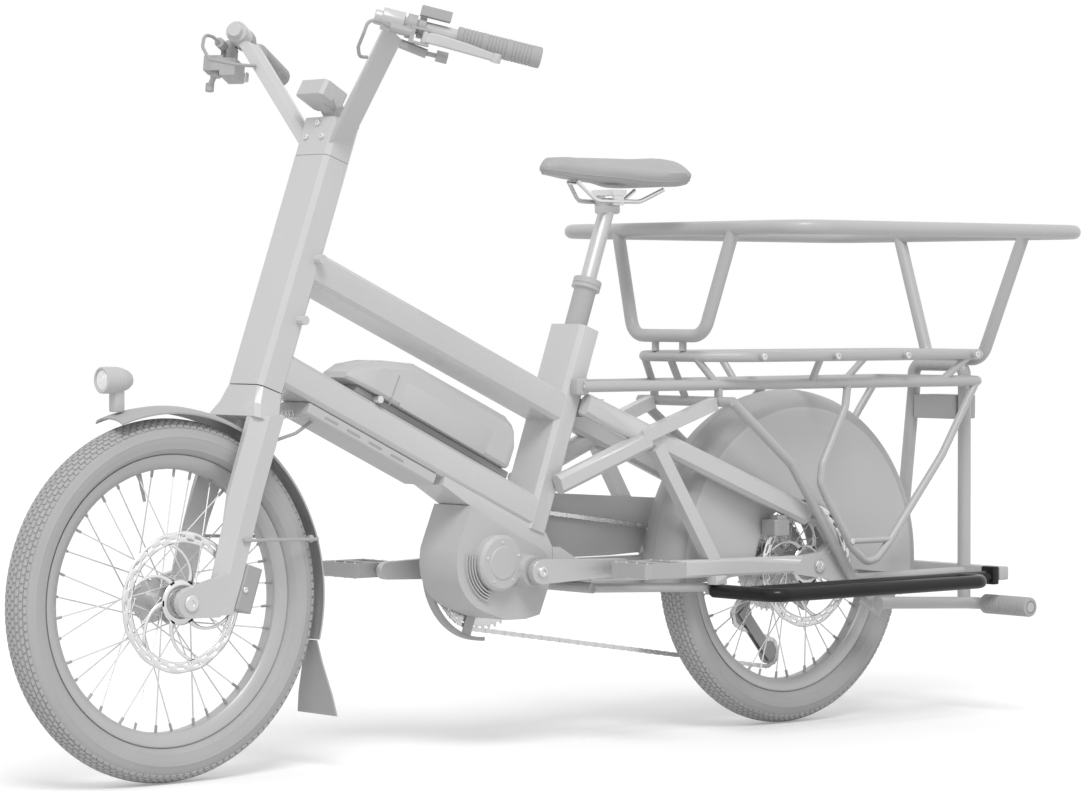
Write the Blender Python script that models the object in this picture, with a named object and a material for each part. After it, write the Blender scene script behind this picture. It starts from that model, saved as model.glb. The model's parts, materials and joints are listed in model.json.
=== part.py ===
# Electric bicycle with a low box-section frame, 20-inch wheels and a long rear carrier.
# Units are metres. The front wheel points to -X, the left side is -Y and +Z is up.
# The origin lies on the floor, in the middle of the length and the width.

import bpy
import bmesh
from math import asin, atan2, cos, pi, radians, sin
from mathutils import Matrix, Vector

for old in list(bpy.data.objects):
    bpy.data.objects.remove(old)

# Running gap between pieces that touch
GAP = 0.0003
# Depth by which welded pieces reach into each other
WELD = 0.002

# Wheels
TYRE_DIAMETER = 0.520
TYRE_WIDTH = 0.058
TYRE_WALL = 0.0045
WHEEL_BASE = 1.2296
RIM_SEAT_RADIUS = 0.2030
RIM_FLANGE_HEIGHT = 0.0055
RIM_DEPTH = 0.0153
RIM_HALF_WIDTH = 0.0165
RIM_FLANGE_WALL = 0.002
SPOKES = 36
WHEEL_SEGMENTS = 28
SPOKE_RADIUS = 0.00115
FLANGE_RADIUS = 0.033
FLANGE_WALL = 0.003
HUB_BODY_RADIUS = 0.014
HUB_NECK_RADIUS = 0.017
DISC_RADIUS = 0.1015
DISC_WALL = 0.002
FRONT_AXLE_RADIUS = 0.0075
REAR_AXLE_RADIUS = 0.006
FRONT_HUB_HALF = 0.055
REAR_HUB_HALF = 0.074
FRONT_FLANGES = (-0.0280, 0.0320)
REAR_FLANGES = (-0.0330, 0.0180)
FRONT_DISC_Y = -0.0425
REAR_DISC_Y = -0.0575
FREEHUB_RADIUS = 0.0165
FREEHUB_END = 0.0690

# Steering
HEAD_TILT = radians(19.8)
FORK_RAKE = 0.0517
FORK_LENGTH = 0.3366
HEAD_TUBE_LENGTH = 0.3543
HEAD_TUBE_WIDTH = 0.082
HEAD_TUBE_DEPTH = 0.048
HEAD_GAP = 0.0015
BOX_CHAMFER = 0.007
STEERER_RADIUS = 0.0143
BEARING_RADIUS = 0.0195
BEARING_DEPTH = 0.010
CROWN_HEIGHT = 0.050
LEG_INNER = 0.037
LEG_INNER_AT_DISC = 0.0475
LEG_OUTER = 0.067
LEG_CHAMFER = 0.020
LEG_DEPTH = 0.046
DROPOUT_WALL = 0.012
LEG_SLOPE = radians(18.7)

# Main frame
MAIN_TUBE_WIDTH = 0.080
MAIN_TUBE_HEIGHT = 0.047
UPPER_TUBE_ON_HEAD = 0.1947
UPPER_TUBE_ON_SEAT = 0.1941
LOWER_TUBE_ON_HEAD = 0.0374
LOWER_TUBE_ON_SEAT = 0.0262
SEAT_TUBE_BACK = 0.668
SEAT_TUBE_FOOT = 0.0755
SEAT_TUBE_TILT = radians(19.6)
SEAT_TUBE_LENGTH = 0.3290
SEAT_TUBE_DEPTH = 0.041
CRANK_BACK = 0.634
CRANK_HEIGHT = 0.017
BRACKET_REACH = 0.066

# Seat
OUTER_POST_RADIUS = 0.0174
OUTER_POST_WALL = 0.0040
OUTER_POST_SHOW = 0.080
OUTER_POST_DEPTH = 0.170
OUTER_POST_TRAVEL = 0.055
POST_COLLAR_RADIUS = 0.0225
POST_COLLAR_HEIGHT = 0.018
INNER_POST_RADIUS = 0.0125
INNER_POST_SHOW = 0.118
INNER_POST_DEPTH = 0.150
SADDLE_LENGTH = 0.262
SADDLE_HALF_WIDTH = 0.080
SADDLE_RISE = 0.06973

# Rear frame
STAY_OUTER = 0.086
STAY_WALL = 0.022
STAY_HEIGHT = 0.028
ARM_SIDE = 0.030
REAR_DROPOUT_WALL = 0.0115
DROPOUT_REACH = 0.072

# Rear carrier, heights above the axles and reaches behind the rear axle
DECK_HEIGHT = 0.340
DECK_HALF_WIDTH = 0.118
DECK_FRONT = -0.250
DECK_REAR = 0.368
DECK_TUBE = 0.0085
RAIL_HEIGHT = 0.2955
RAIL_TUBE = 0.0085
RAIL_REAR = 0.352
DECK_CORNER = 0.045
DECK_RUNGS = (-0.170, -0.005, 0.157, 0.320)
RUNG_TUBE = 0.007
DECK_STUB = 0.015
DECK_STRUTS = ((-0.029, -0.023), (0.320, 0.260))
FRONT_STRUT_SIDE = 0.060
CROSS_BACK = -0.2148
CROSS_UP = 0.2686
STRUT_PLATE_SIDE = 0.090
SIDE_STRUT_TUBE = 0.008
SIDE_LOOP_TUBE = 0.0065
HOOP_TUBE = 0.011
HOOP_LEG_BACK = 0.350
HOOP_FOOT = -0.072
CROSS_TUBE = 0.011
CROSS_HALF = 0.165
CROSS_HEIGHT = -0.024
CROSS_TUBE_BACK = 0.355
HANDLE_TUBE = 0.010
HANDLE_BACK = 0.365
HANDLE_HEIGHT = -0.078
HANDLE_END = 0.215
HANDLE_SLEEVE = 0.016
RING_TUBE = 0.0115
RING_HEIGHT = 0.542
RING_FRONT = -0.240
RING_REAR = 0.4235
RING_HALF_WIDTH = 0.2870
RING_CORNER = 0.060
LEG_TUBE = 0.0105
LEG_REAR = 0.410
BOARD_TUBE = 0.0110
BOARD_FRONT = -0.225
BOARD_REAR = 0.258
BOARD_OUTER = 0.216
BOARD_INNER = 0.150
BOARD_HEIGHT = -0.030

# Double stand, folded up
STAND_BACK = 0.760
STAND_HEIGHT = -0.015
STAND_PIVOT_RADIUS = 0.0085
STAND_SIDE = 0.064
STAND_LEG_TUBE = 0.0075
STAND_LENGTH = 0.262
STAND_BAR_AT = 0.055

# Handlebar and controls, distances along each bar from its forward end
BAR_RADIUS = 0.011
BAR_FRONT = (0.248, 0.1695, 0.833)
BAR_END = (0.440, 0.3094, 0.775)
GRIP_LENGTH = 0.1235
GRIP_RADIUS = 0.0155
CLAMP_RADIUS = 0.0165
BRAKE_CLAMP = (0.0470, 0.0610)
ARM_THICKNESS = 0.0210
ARM_DEPTH = 0.0434
RISER_HEIGHT = 0.060
DISPLAY_RISE = 0.0309
DISPLAY_AHEAD = 0.0324
LEVER_AT = 0.0760
LEVER_DROP = -0.0140
HOSE_RADIUS = 0.0025
DISPLAY_TILT = radians(30)

# Drive
CRANK_LENGTH = 0.165
CRANK_OUTER = 0.0905
CRANK_WALL = 0.0125
SPINDLE_RADIUS = 0.012
PEDAL_LENGTH = 0.092
PEDAL_DEPTH = 0.086
PEDAL_HEIGHT = 0.022
PEDAL_PIN_RADIUS = 0.0060
PEDAL_PIN_END = 0.185
CHAINRING_RADIUS = 0.0965
CHAIN_LINE = 0.0500
CHAIN_THICK = 0.0075
CHAIN_WIDTH = 0.0034
CHAIN_CLEARANCE = 0.0010
COG_WIDTH = 0.0040
COG_RADII = (0.080, 0.070, 0.060, 0.051, 0.043, 0.035, 0.028, 0.023)
CHAIN_COG = 6
JOCKEY_RADIUS = 0.0190
GUARD_RADIUS = 0.1135
MOTOR_HALF_WIDTH = 0.045
COVER_RADIUS = 0.0430
MOTOR_DRUM_RADIUS = 0.0765
CABLE_COVER_DEPTH = 0.020
CABLE_COVER_HALF = 0.036

# Mudguards and covers
FENDER_RADIUS = 0.2775
FENDER_BACK = -0.006
FENDER_HALF_WIDTH = 0.0335
FENDER_WALL = 0.0025
COVER_SHELL_RADIUS = 0.2845
COVER_HALF_WIDTH = 0.045
COVER_WALL = 0.003
COVER_INNER_RADIUS = 0.105
FENDER_FRONT = radians(109)
FENDER_REAR = radians(-14.5)
STAY_WIRE = 0.0025

# Battery
BATTERY_RAIL = 0.012
RAIL_HALF_WIDTH = 0.030
LOCK_RADIUS = 0.0055

# Derived sizes
AXLE_HEIGHT = TYRE_DIAMETER / 2
FRONT_X = (TYRE_DIAMETER / 2 - WHEEL_BASE - RING_REAR - RING_TUBE * cos(pi / 8)) / 2


# A point given from the front axle: back, right, and up from the axle
def at(back, side, up):
    return Vector((FRONT_X + back, side, AXLE_HEIGHT + up))


# A point given from the rear axle
def rear(back, side, up):
    return at(WHEEL_BASE + back, side, up)


# Up along the steering axis from the lower end of the head tube, and forward of it
STEER_UP = Vector((sin(HEAD_TILT), 0, cos(HEAD_TILT)))
STEER_FORWARD = Vector((-cos(HEAD_TILT), 0, sin(HEAD_TILT)))
HEAD_FOOT = at(0, 0, 0) - STEER_FORWARD * FORK_RAKE + STEER_UP * FORK_LENGTH


def head(along, forward=0.0, side=0.0):
    return HEAD_FOOT + STEER_UP * along + STEER_FORWARD * forward + Vector((0, side, 0))


# Up along the seat tube from its lower end, and forward of it
SEAT_UP = Vector((sin(SEAT_TUBE_TILT), 0, cos(SEAT_TUBE_TILT)))
SEAT_FORWARD = Vector((-cos(SEAT_TUBE_TILT), 0, sin(SEAT_TUBE_TILT)))


def seat(along, forward=0.0, side=0.0):
    foot = at(SEAT_TUBE_BACK, side, SEAT_TUBE_FOOT)
    return foot + SEAT_UP * along + SEAT_FORWARD * forward


CRANK = at(CRANK_BACK, 0, CRANK_HEIGHT)
FRONT = at(0, 0, 0)
REAR = rear(0, 0, 0)
GUIDE_WHEEL = rear(-0.040, 0, -0.085)
TENSION_WHEEL = rear(0.0154, 0, -0.150)
ACROSS = Vector((0, 1, 0))
UP = Vector((0, 0, 1))


# Materials: one for each finish, made when it is first used
def finish(name, colour, roughness, metallic=0.0):
    material = bpy.data.materials.get(name)
    if material is None:
        material = bpy.data.materials.new(name)
        material.use_nodes = True
        shader = material.node_tree.nodes["Principled BSDF"]
        shader.inputs["Base Color"].default_value = (*colour, 1)
        shader.inputs["Roughness"].default_value = roughness
        shader.inputs["Metallic"].default_value = metallic
    return material


def frame_paint():
    return finish("frame_paint", (0.62, 0.62, 0.62), 0.4)


def dark_paint():
    return finish("carrier_paint", (0.50, 0.50, 0.50), 0.45)


def plastic():
    return finish("grey_plastic", (0.47, 0.47, 0.47), 0.6)


def rubber():
    return finish("rubber", (0.50, 0.50, 0.50), 0.85)


def steel():
    return finish("bright_steel", (0.78, 0.78, 0.78), 0.3, 0.6)


def black():
    return finish("black_paint", (0.02, 0.02, 0.02), 0.35)


def lens():
    return finish("lens", (0.85, 0.85, 0.85), 0.1)


# Turn a bmesh into an object with one material
def solid(name, mesh, material=None, smooth=False):
    bmesh.ops.recalc_face_normals(mesh, faces=mesh.faces)
    data = bpy.data.meshes.new(name)
    mesh.to_mesh(data)
    mesh.free()
    if material is not None:
        data.materials.append(material)
    if smooth:
        data.shade_smooth()
        data.set_sharp_from_angle(angle=radians(35))
    piece = bpy.data.objects.new(name, data)
    bpy.context.scene.collection.objects.link(piece)
    return piece


# Run one boolean of a piece with others, and keep the result as its mesh
def combine(piece, others, operation):
    for other in others:
        modifier = piece.modifiers.new("combine", "BOOLEAN")
        modifier.operation = operation
        modifier.solver = "EXACT"
        modifier.object = other
    graph = bpy.context.evaluated_depsgraph_get()
    graph.update()
    result = bpy.data.meshes.new_from_object(piece.evaluated_get(graph))
    piece.modifiers.clear()
    piece.data = result
    for other in others:
        bpy.data.objects.remove(other)
    return piece


def weld(piece, *others):
    return combine(piece, list(others), "UNION")


def cut(piece, *others):
    return combine(piece, list(others), "DIFFERENCE")


# Name a finished piece, give it its finish and hang it on the empty of its joint
def keep(piece, name, material, joint=None):
    piece.name = name
    piece.data.name = name
    piece.data.materials.clear()
    piece.data.materials.append(material)
    for face in piece.data.polygons:
        face.material_index = 0
    piece.data.shade_smooth()
    piece.data.set_sharp_from_angle(angle=radians(32))
    if joint is not None:
        piece.data.transform(Matrix.Translation(-joint.matrix_world.translation))
        piece.parent = joint
    return piece


# An empty that marks a joint, carried by the empty of the joint before it
def pivot(name, place, carrier=None):
    marker = bpy.data.objects.new(name, None)
    marker.location = place
    if carrier is not None:
        marker.parent = carrier
        marker.location = Vector(place) - carrier.matrix_world.translation
    marker.empty_display_size = 0.05
    bpy.context.scene.collection.objects.link(marker)
    bpy.context.view_layer.update()
    return marker


# Sections for swept tubes, as points (side, height)
def round_section(radius, sides=8):
    turn = pi / sides
    return [
        (radius * cos(2 * pi * i / sides + turn), radius * sin(2 * pi * i / sides + turn))
        for i in range(sides)
    ]


def box_section(width, height, chamfer=0.0):
    a = width / 2
    b = height / 2
    if chamfer == 0:
        return [(-a, -b), (a, -b), (a, b), (-a, b)]
    c = chamfer
    return [
        (-a + c, -b), (a - c, -b), (a, -b + c), (a, b - c),
        (a - c, b), (-a + c, b), (-a, b - c), (-a, -b + c),
    ]


# The distance from the middle of a round section to its flats
def flat(radius, sides=8):
    return radius * cos(pi / sides)


# Replace each inner corner of a path by an arc
def soften(points, radius, steps=3, closed=False):
    points = [Vector(p) for p in points]
    count = len(points)
    result = []
    for i, corner in enumerate(points):
        if not closed and i in (0, count - 1):
            result.append(corner)
            continue
        before = (points[i - 1] - corner).normalized()
        after = (points[(i + 1) % count] - corner).normalized()
        half = before.angle(after) / 2
        reach = radius / max(0.001, sin(half) / cos(half)) if half < pi / 2 - 0.001 else 0
        if reach == 0:
            result.append(corner)
            continue
        centre = corner + (before + after).normalized() * (radius / sin(half))
        start = corner + before * reach - centre
        end = corner + after * reach - centre
        sweep = start.angle(end)
        axis = start.cross(end).normalized()
        for k in range(steps + 1):
            result.append(centre + Matrix.Rotation(sweep * k / steps, 3, axis) @ start)
    return result


# Sweep a section along a path; the section's first axis starts near `side`
def sweep(points, section, side=ACROSS, closed=False, name="sweep"):
    points = [Vector(p) for p in points]
    count = len(points)
    mesh = bmesh.new()
    rings = []
    first = Vector(side)
    for i, point in enumerate(points):
        if closed:
            before = (point - points[i - 1]).normalized()
            after = (points[(i + 1) % count] - point).normalized()
        else:
            before = (point - points[max(i - 1, 0)]).normalized()
            after = (points[min(i + 1, count - 1)] - point).normalized()
            if i == 0:
                before = after
            if i == count - 1:
                after = before
        along = (before + after).normalized()
        first = (first - along * first.dot(along)).normalized()
        second = along.cross(first)
        bend = before.angle(after) if before.length and after.length else 0
        stretch = 1 / cos(bend / 2)
        outward = (before - after)
        outward = outward.normalized() if outward.length > 1e-6 else Vector((0, 0, 0))
        ring = []
        for a, b in section:
            offset = first * a + second * b
            offset += outward * offset.dot(outward) * (stretch - 1)
            ring.append(mesh.verts.new(point + offset))
        rings.append(ring)
    size = len(section)
    pairs = count if closed else count - 1
    for i in range(pairs):
        low = rings[i]
        high = rings[(i + 1) % count]
        for k in range(size):
            mesh.faces.new((low[k], low[(k + 1) % size], high[(k + 1) % size], high[k]))
    if not closed:
        mesh.faces.new(list(reversed(rings[0])))
        mesh.faces.new(rings[-1])
    return solid(name, mesh)


def tube(points, radius, sides=8, bend=0.0, steps=3, closed=False, side=ACROSS):
    path = soften(points, bend, steps, closed) if bend else points
    return sweep(path, round_section(radius, sides), side, closed)


# A rod between two points
def rod(start, end, radius, sides=10, side=None):
    start = Vector(start)
    end = Vector(end)
    along = (end - start).normalized()
    if side is None:
        side = UP if abs(along.z) < 0.9 else ACROSS
    return sweep([start, end], round_section(radius, sides), side)


# Turn a closed profile of (radius, distance along the axis) points round an axis
def turn(profile, centre, axis=ACROSS, segments=24, start=0.0, sweep_angle=2 * pi):
    centre = Vector(centre)
    axis = Vector(axis).normalized()
    reference = UP if abs(axis.z) < 0.9 else Vector((1, 0, 0))
    one = (reference - axis * reference.dot(axis)).normalized()
    two = axis.cross(one)
    full = sweep_angle > 2 * pi - 0.001
    mesh = bmesh.new()
    rings = []
    for i in range(segments if full else segments + 1):
        angle = start + sweep_angle * i / segments
        out = one * cos(angle) + two * sin(angle)
        rings.append([mesh.verts.new(centre + out * r + axis * y) for r, y in profile])
    size = len(profile)
    for i in range(segments):
        low = rings[i]
        high = rings[(i + 1) % len(rings)]
        for k in range(size):
            mesh.faces.new((low[k], low[(k + 1) % size], high[(k + 1) % size], high[k]))
    if not full:
        mesh.faces.new(list(reversed(rings[0])))
        mesh.faces.new(rings[-1])
    return solid("turned", mesh)


# A solid disc or rod that is turned, with pole faces
def lathe(profile, centre, axis=ACROSS, segments=24):
    centre = Vector(centre)
    axis = Vector(axis).normalized()
    reference = UP if abs(axis.z) < 0.9 else Vector((1, 0, 0))
    one = (reference - axis * reference.dot(axis)).normalized()
    two = axis.cross(one)
    mesh = bmesh.new()
    rings = []
    for r, y in profile:
        ring = []
        for i in range(segments):
            angle = 2 * pi * i / segments
            ring.append(mesh.verts.new(centre + (one * cos(angle) + two * sin(angle)) * r + axis * y))
        rings.append(ring)
    for low, high in zip(rings, rings[1:]):
        for k in range(segments):
            mesh.faces.new((low[k], low[(k + 1) % segments], high[(k + 1) % segments], high[k]))
    mesh.faces.new(list(reversed(rings[0])))
    mesh.faces.new(rings[-1])
    return solid("turned", mesh)


# Extrude an outline of world points lying in an XZ plane from one Y to another
def plate(outline, y_low, y_high):
    mesh = bmesh.new()
    low = [mesh.verts.new((p.x, y_low, p.z)) for p in outline]
    high = [mesh.verts.new((p.x, y_high, p.z)) for p in outline]
    size = len(outline)
    for k in range(size):
        mesh.faces.new((low[k], low[(k + 1) % size], high[(k + 1) % size], high[k]))
    mesh.faces.new(list(reversed(low)))
    mesh.faces.new(high)
    return solid("plate", mesh)


# Join sections with the same number of points into one solid
def loft(sections):
    mesh = bmesh.new()
    rings = [[mesh.verts.new(p) for p in section] for section in sections]
    size = len(rings[0])
    for low, high in zip(rings, rings[1:]):
        for k in range(size):
            mesh.faces.new((low[k], low[(k + 1) % size], high[(k + 1) % size], high[k]))
    mesh.faces.new(list(reversed(rings[0])))
    mesh.faces.new(rings[-1])
    return solid("loft", mesh)


# A box with given centre, three half sizes and two axes
def block(centre, half, one=Vector((1, 0, 0)), two=ACROSS, chamfer=0.0):
    centre = Vector(centre)
    three = one.cross(two).normalized()
    section = box_section(2 * half[0], 2 * half[1], chamfer)
    ends = (centre - three * half[2], centre + three * half[2])
    return loft([[end + one * a + two * b for a, b in section] for end in ends])


def arc_points(centre, radius, start, end, steps):
    points = []
    for k in range(steps + 1):
        angle = start + (end - start) * k / steps
        points.append(Vector(centre) + Vector((radius * cos(angle), 0, radius * sin(angle))))
    return points


SIDES = (("left", -1), ("right", 1))

# Joint markers
steering = pivot("steering_axis", head(0))
front_spin = pivot("front_wheel_axis", FRONT, steering)
rear_spin = pivot("rear_wheel_axis", REAR)
crank_spin = pivot("crank_axis", CRANK)
cassette_spin = pivot("cassette_axis", REAR)


# Wheels: tyre, rim with laced spokes, hub, brake disc
def make_tyre(name, centre, joint):
    r = TYRE_DIAMETER / 2
    w = TYRE_WIDTH / 2
    seat_r = RIM_SEAT_RADIUS + GAP
    lip = RIM_SEAT_RADIUS + RIM_FLANGE_HEIGHT + 2 * GAP
    foot = RIM_HALF_WIDTH - RIM_FLANGE_WALL - GAP
    belly = r - w
    outer = [
        (seat_r, foot), (lip, foot), (belly - 0.003, w), (r - 0.010, w * 0.81), (r, w * 0.28),
    ]
    t = TYRE_WALL
    left = [(a, -b) for a, b in outer]
    inner = [(seat_r, foot - t), (r - t - 0.002, 0), (seat_r, t - foot)]
    profile = left + list(reversed(outer)) + inner
    return keep(turn(profile, centre, segments=WHEEL_SEGMENTS), name, rubber(), joint)


def make_rim(name, centre, flanges, joint):
    inner = RIM_SEAT_RADIUS - RIM_DEPTH
    top = RIM_SEAT_RADIUS + RIM_FLANGE_HEIGHT
    w = RIM_HALF_WIDTH
    half = [
        (inner, w * 0.60), (top, w), (top, w - RIM_FLANGE_WALL),
        (RIM_SEAT_RADIUS, w - RIM_FLANGE_WALL),
    ]
    profile = half + [(a, -b) for a, b in reversed(half)]
    rim = turn(profile, centre, segments=WHEEL_SEGMENTS)
    hole_radius = FLANGE_RADIUS - 0.004
    mesh = bmesh.new()
    for i in range(SPOKES):
        rim_angle = 2 * pi * (i + 0.5) / SPOKES
        flange = flanges[i % 2]
        crossing = 1 if i % 4 < 2 else -1
        hub_angle = rim_angle + crossing * radians(58)
        outside = 0.0014 if crossing * flange > 0 else 0
        stand_off = FLANGE_WALL / 2 + GAP + SPOKE_RADIUS + outside
        start = Vector((hole_radius * cos(hub_angle), flange + crossing * stand_off,
                        hole_radius * sin(hub_angle)))
        reach = inner + 0.0025
        end = Vector((reach * cos(rim_angle), 0.003 * (1 if flange > 0 else -1), reach * sin(rim_angle)))
        along = (end - start).normalized()
        one = along.cross(ACROSS).normalized()
        two = along.cross(one)
        rings = []
        for point in (start, end):
            ring = [mesh.verts.new(Vector(centre) + point + one * a + two * b)
                    for a, b in round_section(SPOKE_RADIUS, 3)]
            rings.append(ring)
        for k in range(3):
            mesh.faces.new((rings[0][k], rings[0][(k + 1) % 3], rings[1][(k + 1) % 3], rings[1][k]))
        mesh.faces.new(list(reversed(rings[0])))
        mesh.faces.new(rings[1])
    spokes = solid("spokes", mesh)
    return keep(weld(rim, spokes), name, steel(), joint)


def make_hub(name, centre, flanges, half, bore, disc_y, freehub_end, joint):
    wall = FLANGE_WALL / 2
    neck = HUB_NECK_RADIUS - GAP
    body = HUB_BODY_RADIUS
    face = disc_y + DISC_WALL / 2 + GAP
    points = [
        (bore + 0.003, -half + GAP), (bore + 0.003, disc_y - DISC_WALL / 2 - 0.003),
        (neck, disc_y - DISC_WALL / 2 - 0.002), (neck, face), (0.026, face), (0.026, face + 0.006),
        (body, flanges[0] - wall), (FLANGE_RADIUS, flanges[0] - wall),
        (FLANGE_RADIUS, flanges[0] + wall), (body, flanges[0] + wall), (body, flanges[1] - wall),
        (FLANGE_RADIUS, flanges[1] - wall), (FLANGE_RADIUS, flanges[1] + wall),
    ]
    if freehub_end:
        points += [(FREEHUB_RADIUS, flanges[1] + wall + 0.004), (FREEHUB_RADIUS, freehub_end)]
    else:
        points += [(body, flanges[1] + wall + 0.004)]
    points += [(bore + 0.003, half - GAP - 0.004), (bore + 0.003, half - GAP)]
    points += [(bore + GAP, half - GAP), (bore + GAP, -half + GAP)]
    return keep(turn(points, centre, segments=16), name, steel(), joint)


def make_disc(name, centre, y, joint):
    band = 0.017
    half = DISC_WALL / 2
    ring = turn([(DISC_RADIUS - band, y - half), (DISC_RADIUS, y - half),
                 (DISC_RADIUS, y + half), (DISC_RADIUS - band, y + half)], centre, segments=20)
    boss = turn([(HUB_NECK_RADIUS, y - half), (0.030, y - half),
                 (0.030, y + half), (HUB_NECK_RADIUS, y + half)], centre, segments=16)
    arms = []
    for i in range(6):
        angle = 2 * pi * i / 6
        inner = Vector(centre) + Vector((0.027 * cos(angle), y, 0.027 * sin(angle)))
        outer_angle = angle + radians(28)
        reach = DISC_RADIUS - band + 0.004
        outer = Vector(centre) + Vector((reach * cos(outer_angle), y, reach * sin(outer_angle)))
        arms.append(sweep([inner, outer], box_section(DISC_WALL, 0.010), ACROSS))
    return keep(weld(ring, boss, *arms), name, steel(), joint)


make_tyre("front_tyre", FRONT, front_spin)
make_rim("front_rim", FRONT, FRONT_FLANGES, front_spin)
make_hub("front_hub", FRONT, FRONT_FLANGES, FRONT_HUB_HALF, FRONT_AXLE_RADIUS, FRONT_DISC_Y, 0, front_spin)
make_disc("front_brake_disc", FRONT, FRONT_DISC_Y, front_spin)
make_tyre("rear_tyre", REAR, rear_spin)
make_rim("rear_rim", REAR, REAR_FLANGES, rear_spin)
make_hub("rear_hub", REAR, REAR_FLANGES, REAR_HUB_HALF, REAR_AXLE_RADIUS, REAR_DISC_Y, FREEHUB_END, rear_spin)
make_disc("rear_brake_disc", REAR, REAR_DISC_Y, rear_spin)


# Through axles, with a flat head on the left
def make_axle(name, centre, radius, outer, joint=None):
    head_radius = radius + 0.004
    profile = [(head_radius, -outer - 0.004), (head_radius, -outer - GAP), (radius, -outer - GAP),
               (radius, outer + 0.001)]
    return keep(lathe(profile, centre, segments=12), name, steel(), joint)


make_axle("front_axle", FRONT, FRONT_AXLE_RADIUS, LEG_OUTER, steering)
make_axle("rear_axle", REAR, REAR_AXLE_RADIUS, STAY_OUTER)


# Fork: crown, two legs with foot plates, steerer
def fork_leg(sign):
    levels = (
        (0.262, 0.142, 1.0, LEG_INNER), (0.154, 0.104, 1.0, LEG_INNER + 0.003),
        (0.106, 0.0900, 0.97, LEG_INNER_AT_DISC), (0.030, 0.0685, 0.92, LEG_INNER_AT_DISC),
        (-0.020, 0.0545, 0.75, LEG_INNER_AT_DISC),
    )
    sections = []
    for up, back, share, inner in levels:
        half = LEG_DEPTH / 2 * share
        c = min(LEG_CHAMFER * share, LEG_OUTER - inner - 0.001)
        outline = [(-half, inner), (-half, LEG_OUTER - c), (-half + c, LEG_OUTER),
                   (half, LEG_OUTER), (half, inner)]
        sections.append([at(back + x, sign * y, up) for x, y in outline])
    return loft(sections)


def foot_plate(sign):
    outline = arc_points(at(0, 0, 0), 0.0215, radians(110), radians(265), 6)
    outline += [at(0.050, 0, -0.0225), at(0.068, 0, -0.005), at(0.070, 0, 0.040), at(0.040, 0, 0.032)]
    y = sorted((sign * (LEG_OUTER - DROPOUT_WALL), sign * LEG_OUTER))
    return plate(outline, y[0], y[1])


def crown():
    sections = []
    for along, half_width, depth, forward in (
        (-HEAD_GAP, HEAD_TUBE_WIDTH / 2, HEAD_TUBE_DEPTH, 0.0),
        (-0.028, 0.049, 0.049, 0.001),
        (-CROWN_HEIGHT, LEG_OUTER - 0.004, 0.050, 0.004),
    ):
        outline = box_section(depth, 2 * half_width, BOX_CHAMFER)
        sections.append([head(along, forward + a, b) for a, b in outline])
    return loft(sections)


fork = weld(
    crown(), fork_leg(-1), fork_leg(1), foot_plate(-1), foot_plate(1),
    rod(head(-0.030), head(HEAD_TUBE_LENGTH + 0.034), STEERER_RADIUS, 16, ACROSS),
)
bore_radius = FRONT_AXLE_RADIUS + GAP
fork = cut(fork, rod(at(0, -0.08, 0), at(0, 0.08, 0), bore_radius, 16, UP))
keep(fork, "fork", frame_paint(), steering)


# Headset bearings in the ends of the head tube
def bearing(name, low):
    inner = (STEERER_RADIUS + GAP) / cos(pi / 12)
    outer = BEARING_RADIUS - GAP
    profile = [(inner, low), (outer, low), (outer, low + BEARING_DEPTH - GAP), (inner, low + BEARING_DEPTH - GAP)]
    return keep(turn(profile, head(0), STEER_UP, 12), name, steel(), steering)


bearing("headset_bearing_lower", 0)
bearing("headset_bearing_upper", HEAD_TUBE_LENGTH - BEARING_DEPTH + GAP)

# Main frame: head tube, two main tubes, seat tube, motor bracket
head_tube = sweep([head(0), head(HEAD_TUBE_LENGTH)], box_section(HEAD_TUBE_WIDTH, HEAD_TUBE_DEPTH, BOX_CHAMFER))
seat_tube = sweep([seat(0), seat(SEAT_TUBE_LENGTH)], box_section(MAIN_TUBE_WIDTH, SEAT_TUBE_DEPTH, BOX_CHAMFER))
main_section = box_section(MAIN_TUBE_WIDTH - 0.0008, MAIN_TUBE_HEIGHT, BOX_CHAMFER - 0.001)
lower_start = head(LOWER_TUBE_ON_HEAD)
lower_end = seat(LOWER_TUBE_ON_SEAT)
LOWER_ALONG = (lower_end - lower_start).normalized()
LOWER_UP = Vector((-LOWER_ALONG.z, 0, LOWER_ALONG.x))
LOWER_LENGTH = (lower_end - lower_start).length
upper_tube = sweep([head(UPPER_TUBE_ON_HEAD), seat(UPPER_TUBE_ON_SEAT)], main_section)
lower_tube = sweep([lower_start, lower_end], main_section)


# A point on the lower main tube: along it, above its centre line, to the side
def lower(along, up=0.0, side=0.0):
    return lower_start + LOWER_ALONG * along + LOWER_UP * up + Vector((0, side, 0))


TUBE_TOP = MAIN_TUBE_HEIGHT / 2
bracket_outline = [
    lower(LOWER_LENGTH - 0.200, -TUBE_TOP + WELD), lower(LOWER_LENGTH - 0.030, -TUBE_TOP + WELD),
    seat(0.004, -SEAT_TUBE_DEPTH / 2 + WELD), at(CRANK_BACK + BRACKET_REACH, 0, CRANK_HEIGHT + 0.033),
    at(CRANK_BACK + BRACKET_REACH, 0, CRANK_HEIGHT + 0.005), at(CRANK_BACK + 0.042, 0, CRANK_HEIGHT + 0.030),
    at(CRANK_BACK - 0.060, 0, CRANK_HEIGHT + 0.078), lower(LOWER_LENGTH - 0.197, -TUBE_TOP - 0.012),
]
bracket = plate(bracket_outline, -MAIN_TUBE_WIDTH / 2 + 0.003, MAIN_TUBE_WIDTH / 2 - 0.003)
frame = weld(head_tube, seat_tube, upper_tube, lower_tube, bracket)
for along, forward in ((0.110, 0.0), (HEAD_TUBE_LENGTH - 0.150, 0.0)):
    boss = rod(head(along, forward - 0.012, -0.0560), head(along, forward - 0.012, 0.0560), 0.007, 10, UP)
    frame = weld(frame, boss)
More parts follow.
